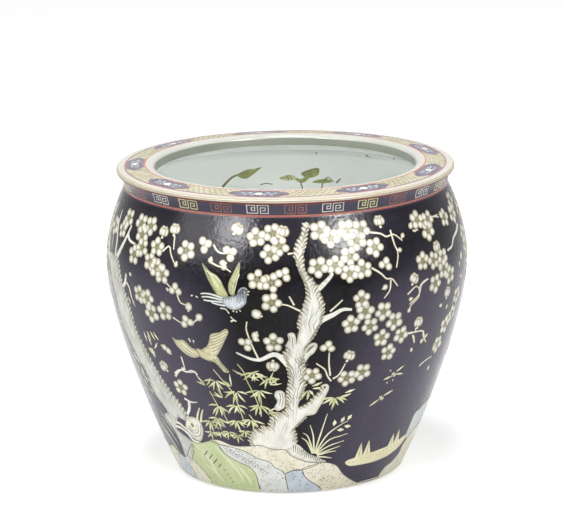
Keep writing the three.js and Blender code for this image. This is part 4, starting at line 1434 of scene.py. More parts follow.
@dataclass
class Garden:
    """One painting of the garden: plum trees, birds, bamboo, a bank and rocks, laid from a middle angle."""

    inks: Inks
    middle: float
    side: int  # 1 as drawn, -1 mirrored
    seed: int
    rng: random.Random = field(init=False)

    def __post_init__(self) -> None:
        """Starts the hand's variation."""
        self.rng = random.Random(self.seed)

    def at(self, point: Point) -> Point:
        """A place of the drawing on the pot."""
        return (self.middle + self.side * point[0], point[1])

    def all_at(self, points: Sequence[Point]) -> list[Point]:
        """Places of the drawing on the pot."""
        return [self.at(point) for point in points]

    def near(self, centre: Point, offset: Point) -> Point:
        """A place some mm away from a place on the pot."""
        wide, tall = WALL.scales(centre)
        return (centre[0] + offset[0] / wide, centre[1] + offset[1] / tall)

    def _off(self, centre: Point, turn: float, reach: float) -> Point:
        """A place at a distance from a place on the pot, towards a turn in radians."""
        return self.near(centre, (reach * math.cos(turn), reach * math.sin(turn)))

    def _stroke(self, ink: Finish, points: Sequence[Point], *sizes: float, **more: float) -> None:
        """A stroke through places of the drawing; see Relief.stroke."""
        self.inks[ink].stroke(self.all_at(points), *sizes, **more)

    def _slab(self, ink: Finish, outline: Sequence[Point], *sizes: float, **more: float) -> None:
        """A broad form with its corners in the drawing; see Relief.slab."""
        self.inks[ink].slab(self.all_at(outline), *sizes, **more)

    def _pad(self, ink: Finish, centre: Point, shape: Sequence[Point], *lifts: float) -> None:
        """A small form at a place of the drawing; see Relief.pad."""
        self.inks[ink].pad(self.at(centre), shape, *lifts)

    # Blossoms

    def _petal(
        self, centre: Point, offset: Point, turn: float, size: float, layer: int, long: float = 1.0
    ) -> None:
        """One petal with its outline, a rounded pad.

        Args:
            centre: The blossom's centre on the pot.
            offset: How far the petal's centre is from it, along the turn and across it, in mm.
            turn: The way that it points, in radians.
            size: Its radius.
            layer: Its place in the pile of petals.
            long: Its length against its width.
        """
        along, across = offset
        place = self.near(centre, (along * math.cos(turn) - across * math.sin(turn),
                                   along * math.sin(turn) + across * math.cos(turn)))
        outline = []
        for k in range(14):
            angle = 2.0 * math.pi * k / 14
            radius = size * (1.0 - 0.12 * max(0.0, -math.cos(angle)) ** 2) * self.rng.uniform(0.97, 1.03)
            x, y = radius * long * math.cos(angle), radius * math.sin(angle)
            outline.append((x * math.cos(turn) - y * math.sin(turn), x * math.sin(turn) + y * math.cos(turn)))
        base = 0.03 + 0.03 * layer
        grown = [(x * (1.0 + 0.6 / size), y * (1.0 + 0.6 / size)) for x, y in outline]
        self.inks[PETAL_EDGE].pad(place, grown, base, base + 0.002)
        self.inks[PETAL_WHITE].pad(place, outline, base + 0.015, base + 0.05, base - 0.02)

    def _stamens(self, centre: Point, count: int, start: float, spread: float, reach: float) -> None:
        """Fine olive lines that fan out from a centre, each with a dot at its end."""
        for k in range(count):
            turn = start + spread * ((k + 0.5) / count - 0.5) + self.rng.uniform(-0.15, 0.15)
            length = reach * self.rng.uniform(0.75, 1.1)
            tip = self._off(centre, turn, length)
            self.inks[STAMEN].stroke([self._off(centre, turn, 0.5), tip], 0.6, 0.45, 0.23, 3.0)
            self.inks[STAMEN].pad(tip, ring(0.55, 0.55, 6), 0.23, 0.25)

    def blossom(self, place: Point, form: Bloom, size: float = 1.0, facing: float = 90.0) -> None:
        """A blossom or bud.

        Args:
            place: Where, in the drawing.
            form: How it is seen.
            size: Its size against the usual one, or a bud's radius in mm.
            facing: The way that a half-open one points, in degrees.
        """
        facing = facing if self.side > 0 else 180.0 - facing
        centre = self.at(place)
        turn = self.rng.uniform(0.0, 2.0 * math.pi)
        size *= self.rng.uniform(0.93, 1.06)
        if form is Bloom.FULL:
            self.inks[LEAF_DARK].pad(centre, ring(2.6 * size, 2.6 * size, 10), 0.02, 0.03)
            for layer, k in enumerate((0, 2, 4, 1, 3)):
                angle = turn + k * 2.0 * math.pi / 5 + self.rng.uniform(-0.1, 0.1)
                radius = 3.95 * size * self.rng.uniform(0.92, 1.07)
                self._petal(centre, (6.8 * size, 0.0), angle, radius, layer, 1.06)
            self._stamens(centre, 8, turn + 0.3, 2.0 * math.pi, 4.3 * size)
        elif form is Bloom.CUP:
            up = math.radians(facing)
            for layer, (along, across, radius) in enumerate(
                ((4.6, -2.2, 2.3), (4.8, 2.1, 2.3), (0.6, -3.5, 3.1), (0.6, 3.5, 3.1), (0.0, 0.0, 3.2))
            ):
                self._petal(centre, (along, across), up, radius * size, layer, 1.0 if along > 2 else 1.4)
            base = self._off(centre, up, -5.6)
            self.inks[TWIG_CREAM].pad(base, ring(1.7, 1.5, 8), 0.1, 0.14)
        elif form is Bloom.HALF:
            up = math.radians(facing)
            for layer, k in enumerate((-1.75, 1.75, 0.0)):
                self._petal(centre, (4.5 * size, 0.0), up + k, 3.8 * size, layer, 1.1)
            self.inks[STAMEN].pad(centre, ring(1.5, 1.5, 8), 0.16, 0.19)
        else:
            self._petal(centre, (0.0, 0.0), turn, size, 0, 1.15)
            back = self._off(centre, turn, -1.2 * size)
            self.inks[TWIG_CREAM].pad(back, ring(1.2, 1.0, 7), 0.08, 0.1)

    def blossoms(self) -> None:
        """All the blossoms and buds of the two trees."""
        for place in FULL_BLOSSOMS:
            self.blossom(place, Bloom.FULL)
        for places, form in ((CUP_BLOSSOMS, Bloom.CUP), (HALF_BLOSSOMS, Bloom.HALF)):
            for x, z, facing in places:
                self.blossom((x, z), form, 1.0, facing)
        for x, z, radius in BUDS:
            self.blossom((x, z), Bloom.BUD, radius)

    # Trees

    def _edged(self, ink: Finish, points: Sequence[Point], start: float, end: float, edge: float) -> None:
        """A limb or twig with a darker line along both its edges."""
        self._stroke(BARK_LINE, points, start + edge, end + 0.9, 0.01)
        self._stroke(ink, points, start, end, 0.05 if ink is TWIG_CREAM else 0.06, foot=0.0)

    def _grain(self, left: Line, right: Line, heights: Point, shares: Sequence[float]) -> None:
        """Long broken strokes that run up a trunk, at shares of the way between its left and right edges."""
        edges = [np.array(sorted(edge, key=lambda point: point[1]), float) for edge in (left, right)]
        for share in shares:
            low = heights[0] + self.rng.uniform(0.0, 12.0)
            while low < heights[1] - 8.0:
                high = min(low + self.rng.uniform(9.0, 26.0), heights[1])
                drift = self.rng.uniform(-0.08, 0.08)
                points = []
                for height, shift in ((low, -drift), ((low + high) / 2.0, drift), (high, -drift)):
                    start, end = (float(np.interp(height, edge[:, 1], edge[:, 0])) for edge in edges)
                    points.append((start + (share + shift) * (end - start), height))
                dark = self.rng.random() < 0.55
                ink, middle = (BARK_SHADE, 0.8) if dark else (BARK_GREY, 2.4)
                self._stroke(ink, points, 0.4, 0.3, 0.13 if dark else 0.11, 4.0, middle=middle)
                low = high + self.rng.uniform(2.0, 12.0)

    def _hatching(
        self, edge: Sequence[Point], inwards: float, length: float, density: float = 1.5, proud: float = 1.7,
    ) -> None:
        """Bark strokes along an edge: dark ones that run down into the trunk, pale ones that stand out of it.

        Args:
            edge: The edge in the drawing.
            inwards: 1 or -1, the way from the edge into the trunk, towards a larger or smaller angle.
            length: Their length in mm.
            density: Their spacing in mm.
            proud: How far the pale ones reach out of the trunk, in mm.
        """
        line = flowing(edge, density, 3.3)
        way = inwards * self.side
        for step, here in enumerate(line[1:-1]):
            start = self.at(tuple(here))
            if step % 3:
                reach, drop = length * self.rng.uniform(0.35, 0.85), length * self.rng.uniform(0.6, 1.0)
                offsets = ((-1.4 * way, 1.4), (0.45 * reach * way, -0.3 * drop), (reach * way, -drop))
                points = [self.near(start, offset) for offset in offsets]
                self.inks[BARK_SHADE].stroke(points, 0.95, 0.35, 0.13, 3.0)
            else:
                out = self.rng.uniform(0.4, 1.3) * proud
                points = [self.near(start, (1.0 * way, -1.2)), self.near(start, (-out * way, out * 0.8))]
                self.inks[TWIG_CREAM].stroke(points, 1.9, 0.7, 0.07, 3.0)

    def _arcs(self, centre: Point, sizes: Sequence[float], start: float, end: float) -> None:
        """Dark rings or parts of rings round a place, between two angles in degrees, as on a cut limb."""
        place = self.at(centre)
        for size in sizes:
            points = []
            for k in range(7):
                angle = math.radians(start + (end - start) * k / 6)
                offset = (self.side * size * math.cos(angle), 1.25 * size * math.sin(angle))
                points.append(self.near(place, offset))
            self.inks[BARK_SHADE].stroke(points, 0.8, 0.8 * 0.6, 0.2, 2.5)

    def trees(self) -> None:
        """The main plum tree, the tree at its left, and their limbs and twigs."""
        for line, start, end in LIMBS:
            self._edged(BARK, line, start, end, 1.2)
        for line in TWIGS:
            self._edged(TWIG_CREAM, line, 1.8, 1.1, 1.1)
        for line, width in STRANDS:
            self._stroke(GRASS, line, 0.5, 0.4, 0.06, 3.0, middle=width)
        self._slab(BARK, TRUNK_LEFT + TRUNK_RIGHT, 0.04, 0.09, 4.5)
        self._slab(BARK_GREY, LEFT_TRUNK, 0.04, 0.09, 4.5)
        for edge, *sizes in (
            (TRUNK_LEFT[:13], 1.0, 6.0), (TRUNK_LEFT[19:33], 1.0, 8.5),
            (TRUNK_LEFT[32:39], 1.0, 6.0, 1.5, 2.4), (TRUNK_RIGHT[2:8], -1.0, 6.0),
            (TRUNK_RIGHT[14:20], 1.0, 3.5, 1.8), (TRUNK_RIGHT[20:28], -1.0, 8.0),
            (TRUNK_RIGHT[28:], -1.0, 6.5), (LEFT_TRUNK[:14], 1.0, 7.0, 2.2),
            (LEFT_TRUNK[30:], -1.0, 9.0, 1.8),
        ):
            self._hatching(edge, *sizes)
        root_edges = (((-56, 34), (-55, 60), (-58, 90)), ((-49, 36), (-48, 60), (-50, 90)))
        self._grain(LEFT_TRUNK[:14], LEFT_TRUNK[30:], (94.0, 250.0), (0.14, 0.3, 0.46, 0.62, 0.78))
        self._grain(*root_edges, (36.0, 88.0), (0.3, 0.6))
        self._grain(TRUNK_LEFT[:13], TRUNK_RIGHT[32:], (200.0, 306.0), (0.3, 0.52, 0.74))
        self._grain(TRUNK_LEFT[23:29], TRUNK_RIGHT[20:32], (112.0, 165.0), (0.3, 0.5, 0.7))
        self._hatching(((9, 251), (12.6, 263), (13.6, 268)), 1.0, 3.0, 2.4)
        for low, high in WASHES:
            for shift in (-0.7, 0.5):
                middle = ((low[0] + high[0]) / 2 + shift, (low[1] + high[1]) / 2)
                line = [(low[0] + shift * 0.5, low[1]), middle, (high[0] + shift * 0.3, high[1])]
                self._stroke(BARK_GREY, line, 0.7, 0.4, 0.11, 4.0, middle=1.7)
        self._slab(BARK, STUB, 0.09, 0.14, 4.0)
        self._stroke(BARK_SHADE, [(5.9, 179.5), (6.9, 184.5), (8.2, 187.6)], 1.2, 1.4, 0.2, 3.0, middle=3.0)
        self._arcs((5.0, 176), (4.6, 7.4, 10.0), 195, 300)
        self._pad(BARK, (12.6, 136.4), ring(3.6, 4.2, 14), 0.13, 0.16)
        self._pad(BARK_LINE, (12.4, 136.2), ring(1.4, 1.9, 10), 0.2, 0.22)
        self._slab(BARK, KNOT, 0.1, 0.15, 3.5)
        for line in BARK_CRACKS:
            self._stroke(BARK_SHADE, line, 1.0, 0.6, 0.21, 3.0)
        self._arcs((-41.6, 79), (5.6, 8.2), -170, 20)
        self._arcs((-60.7, 246), (2.0,), 0, 330)
        self._arcs((-47.5, 148), (2.6,), 0, 200)

    # Birds

    def _bird_part(self, outline: Sequence[Point], ink: Finish, rim: float = 0.08) -> None:
        """A bird's wing, body or head."""
        self.inks[BARK_LINE].slab(self._grown(outline, 0.6), 0.02, 0.03, 5.0)
        self._slab(ink, outline, rim, rim + 0.05, 3.2, foot=0.0)

    def _grown(self, outline: Sequence[Point], by: float) -> list[Point]:
        """An outline of the drawing on the pot, grown by some mm."""
        points = np.array(self.all_at(outline))
        middle = points.mean(axis=0)
        wide, tall = WALL.scales(tuple(middle))
        offset = (points - middle) * (wide, tall)
        away = np.maximum(np.linalg.norm(offset, axis=1), 1e-6)[:, None]
        grown = middle + offset * (1.0 + by / away) / (wide, tall)
        return [tuple(point) for point in grown]

    def _feathers(self, lines: Sequence[Sequence[Point]], width: float = 0.55) -> None:
        """Fine feather lines."""
        for line in lines:
            self._stroke(BARK_LINE, line, width, width * 0.7, 0.17, 3.0)

    def birds(self) -> None:
        """The blue bird that flies right, and the cream bird below it that flies left."""
        for line in BLUE_TAIL:
            self._stroke(BARK_LINE, line, 3.2, 2.2, 0.02)
            self._stroke(PLUMAGE_BLUE, line, 2.0, 1.2, 0.1, foot=0.0)
            self._stroke(PETAL_WHITE, line, 0.5, 0.7, 0.15)
        for wing in BLUE_WINGS:
            self._bird_part(wing, WING_GREEN)
        self._bird_part(BLUE_BODY, PLUMAGE_BLUE, 0.1)
        self._bird_part(BLUE_HEAD, PLUMAGE_DARK, 0.13)
        self._stroke(PLUMAGE_BLUE, [(-15.1, 249), (-14.3, 252.8), (-13.3, 254), (-12.3, 252)], 0.6, 0.5, 0.2)
        for k in range(6):
            x, z = -15.2 + 0.5 * k, 243.2 + 0.3 * k
            self._stroke(PLUMAGE_DARK, [(x, z), (x - 0.55, z - 5.5 - (k % 3))], 1.0, 0.35, 0.2)
            self._stroke(PLUMAGE_BLUE, [(x + 0.2, z + 3.4), (x, z - 3)], 0.35, 0.5, 0.21)
        for k in range(7):
            x, z = -20.0 + 0.85 * k, 241.2 + 0.75 * k
            self._stroke(PLUMAGE_DARK, [(x, z), (x + 0.25, z - 4.2)], 0.9, 0.3, 0.19)
        for line in BLUE_WING_LIGHTS:
            self._stroke(PETAL_WHITE, line, 0.9, 0.5, 0.17)
        self._feathers(BLUE_LINES)
        for line, width in BLUE_BEAK_AND_CLAWS:
            self._stroke(TWIG_CREAM, line, width, width * 0.6, 0.1, 3.0)
        self._pad(PETAL_WHITE, (-13.1, 249.2), ring(0.8, 0.9, 8), 0.21, 0.24)
        for part in CREAM_PARTS:
            self._bird_part(part, WING_CREAM)
        self._feathers(CREAM_LINES, 0.7)
        for line in ([(-33.4, 190), (-33, 185.8)], [(-31.8, 188.8), (-31.6, 186)]):
            self._stroke(TWIG_CREAM, line, 1.8, 1.0, 0.08, 3.0)

    # Plants

    def _leaf(self, root: Point, turn: float, length: float, width: float, ink: Finish, dark: Finish) -> None:
        """A pointed leaf from its root, towards a turn in degrees, with a darker edge."""
        lean = math.radians(turn if self.side > 0 else 180.0 - turn)
        root = self._off(root, lean, 0.14 * length)
        tip = self._off(root, lean, length)
        bend = self.rng.uniform(-0.1, 0.1) * length
        half = self.near(root, (0.5 * length * math.cos(lean) - bend * math.sin(lean),
                                0.5 * length * math.sin(lean) + bend * math.cos(lean)))
        self.inks[dark].stroke([root, half, tip], 1.0, 0.5, 0.02, 3.0, middle=width + 1.0)
        self.inks[ink].stroke([root, half, tip], 0.6, 0.3, 0.08, 3.0, middle=width, foot=0.0)

    def _leaf_fan(self, centre: Point, turns: Sequence[float], length: float, width: float) -> None:
        """Bamboo leaves that hang out from one joint."""
        root = self.at(centre)
        for turn in turns:
            ink = LEAF_OLIVE if self.rng.random() < 0.65 else GRASS
            way, reach = turn + self.rng.uniform(-9, 9), length * self.rng.uniform(0.7, 1.15)
            self._leaf(root, way, reach, width, ink, LEAF_DARK)

    def bamboo(self) -> None:
        """The bamboo between the two trees, and two small sprays right of the trunk."""
        for line in CANES:
            self._stroke(LEAF_DARK, line, 1.5, 1.7, 0.01)
            self._stroke(LEAF_OLIVE, line, 0.8, 0.9, 0.05, foot=0.0)
        for centre, turns, length, width in LEAF_FANS:
            self._leaf_fan(centre, turns, length, width)
        for root, turn in SPRIG_LEAVES:
            self._leaf(self.at(root), turn, 12.0, 2.9, GRASS, LEAF_DARK)
        self._leaf_fan((16.4, 123), (-168, -144, -118, -94, -70, -46, -20), 14.0, 2.7)
        for root, turn in LEFT_LEAVES:
            self._leaf(self.at(root), turn, 11.5, 2.3, GRASS, LEAF_DARK)

    def grasses(self) -> None:
        """The tuft of grass at the right of the trunk's foot, and the striped turf beneath it."""
        for blade in BLADES:
            self._stroke(GRASS, blade, 1.8, 0.7, 0.06, middle=1.7)
        for root, turn in TUFT_LEAVES:
            self._leaf(self.at(root), turn, 8.0, 4.6, GRASS, BARK_LINE)
        self._slab(BARK, TURF, 0.07, 0.12, 4.5)
        for k in range(16):
            share = k / 15
            x, z = 1.5 + 12.0 * share, 65.0 - 21.0 * share + self.rng.uniform(-1, 1.5)
            self._stroke(BARK_LINE, [(x, z), (x - 0.2, z - 9.0 + 4.0 * share)], 0.9, 0.5, 0.16)
        self.inks[BARK_LINE].slab(self._grown(POD, 0.9), 0.03, 0.04, 4.5)
        self._slab(BARK, POD, 0.08, 0.13, 4.0, foot=0.0)
        self._pad(GRASS, (-41.6, 79.5), ring(5.0, 6.0, 14), 0.16, 0.19)
        self._pad(BARK_SHADE, (-41.8, 79.5), ring(2.2, 3.0, 10), 0.2, 0.21)
        for line in ([(-38.4, 87), (-37.4, 94), (-35.4, 104.5)], [(-36.6, 86), (-35.6, 94), (-34, 103)]):
            self._stroke(BARK_LINE, line, 4.2, 2.4, 0.03)
            self._stroke(GRASS, line, 2.8, 1.2, 0.1, foot=0.0)
        for line in POD_LINES:
            self._stroke(BARK_SHADE, line, 0.9, 0.7, 0.19)

    def insects(self) -> None:
        """Two small winged insects over the water."""
        for body, wings in INSECTS:
            for wing in wings:
                self._stroke(WING_CREAM, wing, 1.0, 0.8, 0.08, middle=2.7)
            place = self.at(body)
            for away, turn, size in ((0.0, 115, 3.6), (2.2, 20, 2.6), (-2.4, 200, 2.4)):
                spot = self.near(place, (self.side * 0.5 * away, -0.5 * away))
                self.inks[GRASS].pad(spot, ring(size, 1.5, 10, turn), 0.11, 0.15)
                ends = [self._off(spot, math.radians(turn), sign * size) for sign in (-1, 1)]
                self.inks[BARK_LINE].stroke(ends, 0.5, 0.4, 0.2, 3.0)
        for spot in ((37.2, 145.4), (39.2, 132.8), (36.8, 131)):
            self._pad(GRASS, spot, ring(1.0, 1.0, 7), 0.08, 0.11)

    def bank(self) -> None:
        """The far bank with its four spires."""
        self.inks[BARK_LINE].slab(self._grown(BANK, 0.9), 0.02, 0.03, 6.0)
        self._slab(BANK_YELLOW, BANK, 0.07, 0.1, 5.0, foot=0.0)
        for spire in SPIRES:
            self._slab(BANK_YELLOW, spire, 0.08, 0.1, 5.0, False, 0.0)
            root = ((spire[0][0] + spire[2][0]) / 2, spire[0][1] + 2)
            self._stroke(BARK_LINE, [root, spire[1]], 0.5, 0.3, 0.13)
        for k in range(18):
            x = 27 + 1.8 * k
            place = self.at((x, 35 + 0.27 * (x - 25) + self.rng.uniform(-2, 2)))
            self.inks[ROCK_LINE].stroke([place, self.near(place, (1.8, 0.5))], 0.5, 0.3, 0.13, 3.0)

    # Rocks

    def _rock(self, ink: Finish, outline: Sequence[Point], dots: int = 0, layer: float = 0.0) -> None:
        """A rock or hill: a flat slab with an olive outline, and stippling.

        Args:
            ink: Its colour.
            outline: Its corners.
            dots: How many short marks are scattered on it.
            layer: Extra lift where it lies over another.
        """
        self._slab(ink, outline, 0.05 + layer, 0.08 + layer, 5.5)
        wide, _ = WALL.scales(self.at(outline[0]))
        border = flowing(outline, 3.0, wide, closed=True)
        over = [tuple(p) for p in border if p[1] > 3.0]  # its foot carries no line
        breaks = [k for k in range(1, len(over)) if abs(over[k][0] - over[k - 1][0]) * 2.6 > 9.0]
        for start, stop in zip([0, *breaks], [*breaks, len(over)]):
            if stop - start > 3:
                self._stroke(ROCK_LINE, over[start:stop], 0.9, 0.9, 0.12 + layer)
        flat = np.array(outline, float) * (wide, 1.0)
        low, high = flat.min(axis=0), flat.max(axis=0)
        tries = np.array([(self.rng.uniform(low[0], high[0]), self.rng.uniform(low[1], high[1]))
                          for _ in range(dots * 3)]).reshape(-1, 2)
        for x, y in tries[inside(flat, tries, 2.0)][:dots] if dots else ():
            place = self.at((x / wide, y))
            turn, length = self.rng.uniform(0.2, 1.4), self.rng.uniform(0.9, 2.6)
            tip = self._off(place, turn, length)
            self.inks[ROCK_LINE].stroke([place, tip], 0.6, 0.35, 0.12 + layer, 3.0)

    def rocks(self) -> None:
        """The rocks and the green hill along the foot."""
        for ink, dots, layer, outline in ROCKS:
            self._rock(ink, outline, dots, layer)
        for line, width in HILL_STROKES:
            self._stroke(BARK_LINE, line, width, width * 0.8, 0.19)
        for spot in ((-31.7, 26.5), (-30.4, 21.4), (-29.6, 16.9), (-28.9, 12.3), (-27.4, 8.6)):
            self._pad(BARK_LINE, spot, ring(0.95, 0.8, 8), 0.17, 0.2)
        for line in HILL_LIGHTS:
            self._stroke(HILL_LIGHT, line, 1.0, 1.0, 0.145, 4.0, middle=4.6)
        for x, z in CURLS:
            for shift in (0.0, 1.1, 2.2):
                centre = self.at((x + shift, z - 2.0 * shift))
                curl = [
                    self.near(centre, (self.side * 1.9 * math.cos(turn), 2.6 * math.sin(turn)))
                    for turn in (0.4, 1.6, 2.8, 4.0)
                ]
                self.inks[ROCK_LINE].stroke(curl, 0.55, 0.35, 0.155, 2.5)

    def build(self) -> None:
        """Paints everything, from the ground up."""
        self.rocks()
        self.bank()
        self.bamboo()
        self.trees()
        self.grasses()
        self.insects()
        self.blossoms()
        self.birds()


JOIN_ROCK: Line = (
    (-18, 30), (-14, 40), (-8, 46), (-2, 38), (4, 44), (10, 36), (17, 30), (18, 2), (0, 1.2), (-18, 2),
)
JOIN_HILL: Line = ((-8, 20), (-4, 30), (2, 26), (7, 14), (8, 2), (0, 1.2), (-9, 2))
JOIN_BRANCH: Line = ((-9, 100), (-6, 130), (-8, 160), (-3, 190), (-5, 220), (1, 250), (0, 280), (5, 305))
JOIN_TWIGS: tuple[Line, ...] = (
    ((-7, 150), (3, 172)), ((-4, 196), (6, 214)), ((-2, 232), (-10, 252)), ((0, 262), (8, 276)),
)


@dataclass
class Bridge:
    """What joins the two gardens at the pot's sides: more rocks, a leaning branch and its blossoms."""

    inks: Inks
    middle: float
    seed: int

    def build(self) -> None:
        """Paints the join."""
        garden = Garden(self.inks, self.middle, 1, self.seed)
        rng = garden.rng
        garden._rock(ROCK_GREY, JOIN_ROCK, 60)
        garden._rock(HILL_GREEN, JOIN_HILL, 8, 0.03)
        line = JOIN_BRANCH
        garden._stroke(BARK_LINE, line, 9.0, 3.0, 0.01)
        garden._stroke(BARK, line, 7.6, 2.0, 0.06, foot=0.0)
        garden._hatching(line, 1.0, 3.0, 5.0)
        for root, tip in JOIN_TWIGS:
            middle = ((root[0] + tip[0]) / 2 + 1.0, (root[1] + tip[1]) / 2)
            garden._edged(TWIG_CREAM, [root, middle, tip], 2.4, 1.3, 1.1)
            for _ in range(4):
                spot = (tip[0] + rng.uniform(-3.4, 3.4), tip[1] + rng.uniform(-11, 11))
                garden.blossom(spot, rng.choice((Bloom.FULL, Bloom.FULL, Bloom.CUP, Bloom.HALF)))
        for spot in ((-9, 296), (-4, 310), (8, 300), (10, 288), (-10, 225), (9, 240), (3, 128), (-10, 140)):
            garden.blossom(spot, Bloom.FULL)
        for centre in ((4, 96), (-3, 84), (9, 76)):
            garden._leaf_fan(centre, (-150, -120, -90, -60, -30, 20, 160), 15.0, 1.9)


# The spray inside: its leaves, the bract between them, and the brown lines with their widths.
SPRAY_STALK: Line = ((198.1, 298.3), (200.1, 295.9), (202, 290), (203.6, 283.3), (204.6, 268), (204, 252))
SPRAY_LEAF: Line = (
    (198.5, 298.9), (196.9, 301.3), (195.4, 303.6), (193.8, 304.9), (192.3, 304.5), (190.7, 305.2),
    (189.1, 306.4), (189.9, 303.6), (191.1, 300), (192.7, 295.9), (194.2, 292.8), (195.8, 293),
    (197.3, 295.3),
)
SPRAY_LIGHT_LEAF: Line = (
    (182.5, 291.7), (180.6, 294), (179, 295.6), (177, 294.6), (175.9, 291), (175.1, 287.5), (176.7, 288.7),
    (179, 288), (181, 288.7),
)
SPRAY_BRACT: Line = ((176.2, 290.5), (174.6, 287.3), (172.8, 289.6), (171.6, 293.4))
SPRAY_RIGHT_LEAVES: tuple[Line, ...] = (
    ((174.3, 295.9), (173.1, 299.4), (171.2, 301.8), (169.2, 304.2), (167.3, 304.3), (167.3, 299.4),
     (168.1, 294.7), (170, 292.3), (172.4, 291.7)), ((170.4, 285.7), (168.9, 288.6), (166.5, 290.3),
     (164.2, 291), (162.6, 287.5), (164.6, 285.7), (167.7, 285)),
)
SPRAY_LINES: tuple[tuple[Line, float], ...] = (
    (((198, 298.5), (194.5, 298.2), (191.5, 301.4), (189.3, 306)), 0.8), (((197.4, 300), (194.6, 301),
      (192, 303)), 0.7), (((196.6, 295), (194.4, 295), (192.4, 298.5)), 0.7), (((190.9, 304.9),
      (189.8, 304.8), (189, 306.4)), 1.6), (((182, 291.4), (179.5, 291.8), (177, 291.2)), 0.7),
    (((179.6, 294.6), (178.8, 290.6), (179.2, 288.6)), 1.2), (((178.6, 295), (177.8, 291), (178, 288.9)),
     1.1), (((174, 297), (171.6, 300.6), (167.8, 303.6)), 2.2), (((173.4, 294), (170.6, 297), (168, 300)),
     0.8), (((166.2, 287.5), (164.2, 293.4), (162.3, 287.3)), 1.6), (((161.3, 286.3), (159.4, 292.2)), 2.4),
    (((170, 286.4), (166.6, 288), (163.4, 288)), 0.8), (((189.2, 283.6), (187, 285.4), (184.8, 283.6)), 1.4),
    (((174.6, 287), (174, 276), (175, 262)), 1.8), (((166.4, 286), (167.4, 274), (169, 262)), 1.8),
)
IRON_SPECKS: tuple[tuple[Point, float], ...] = (  # place and radius of small specks in the glaze inside
    ((146.4, 325.0), 1.3), ((145.2, 323.6), 0.8), ((133.0, 326.0), 1.0), ((167.7, 324.0), 0.9),
)


@dataclass
class WellSprays:
    """The leafy sprays painted inside, near the top of the far and the near wall."""

    turns: tuple[float, ...] = (0.0, 172.0)  # degrees that each spray is turned by from where it is drawn

    def build(self) -> None:
        """Builds the sprays."""
        green, brown, light = reliefs = [
            Relief(name, WELL, finish, Slot.PALE, 0.0)
            for name, finish in (
                ("spray_green_inside", SPRAY_GREEN), ("spray_brown_inside", SPRAY_BROWN),
                ("spray_light_inside", LEAF_OLIVE),
            )
        ]
        for turn in self.turns:
            def at(points: Line) -> list[Point]:
                """Places of the drawing on the inside wall."""
                return [(x + turn, z) for x, z in points]

            brown.stroke(at(SPRAY_STALK), 2.4, 4.6, 0.08, middle=4.2)
            green.slab(at(SPRAY_LEAF), 0.06, 0.12, 4.0)
            light.slab(at(SPRAY_LIGHT_LEAF), 0.06, 0.12, 4.0)
            green.stroke(at(SPRAY_BRACT), 3.0, 4.0, 0.1, middle=5.6)
            for leaf in SPRAY_RIGHT_LEAVES:
                green.slab(at(leaf), 0.06, 0.12, 4.0)
            for line, width in SPRAY_LINES:
                brown.stroke(at(line), width, width * 0.6, 0.17, 3.0)
        for speck, size in IRON_SPECKS:
            brown.pad(speck, ring(size * 1.3, size, 8), 0.02, 0.05)
        for relief in reliefs:
            relief.made()


# ---- Studio -------------------------------------------------------------------------------------


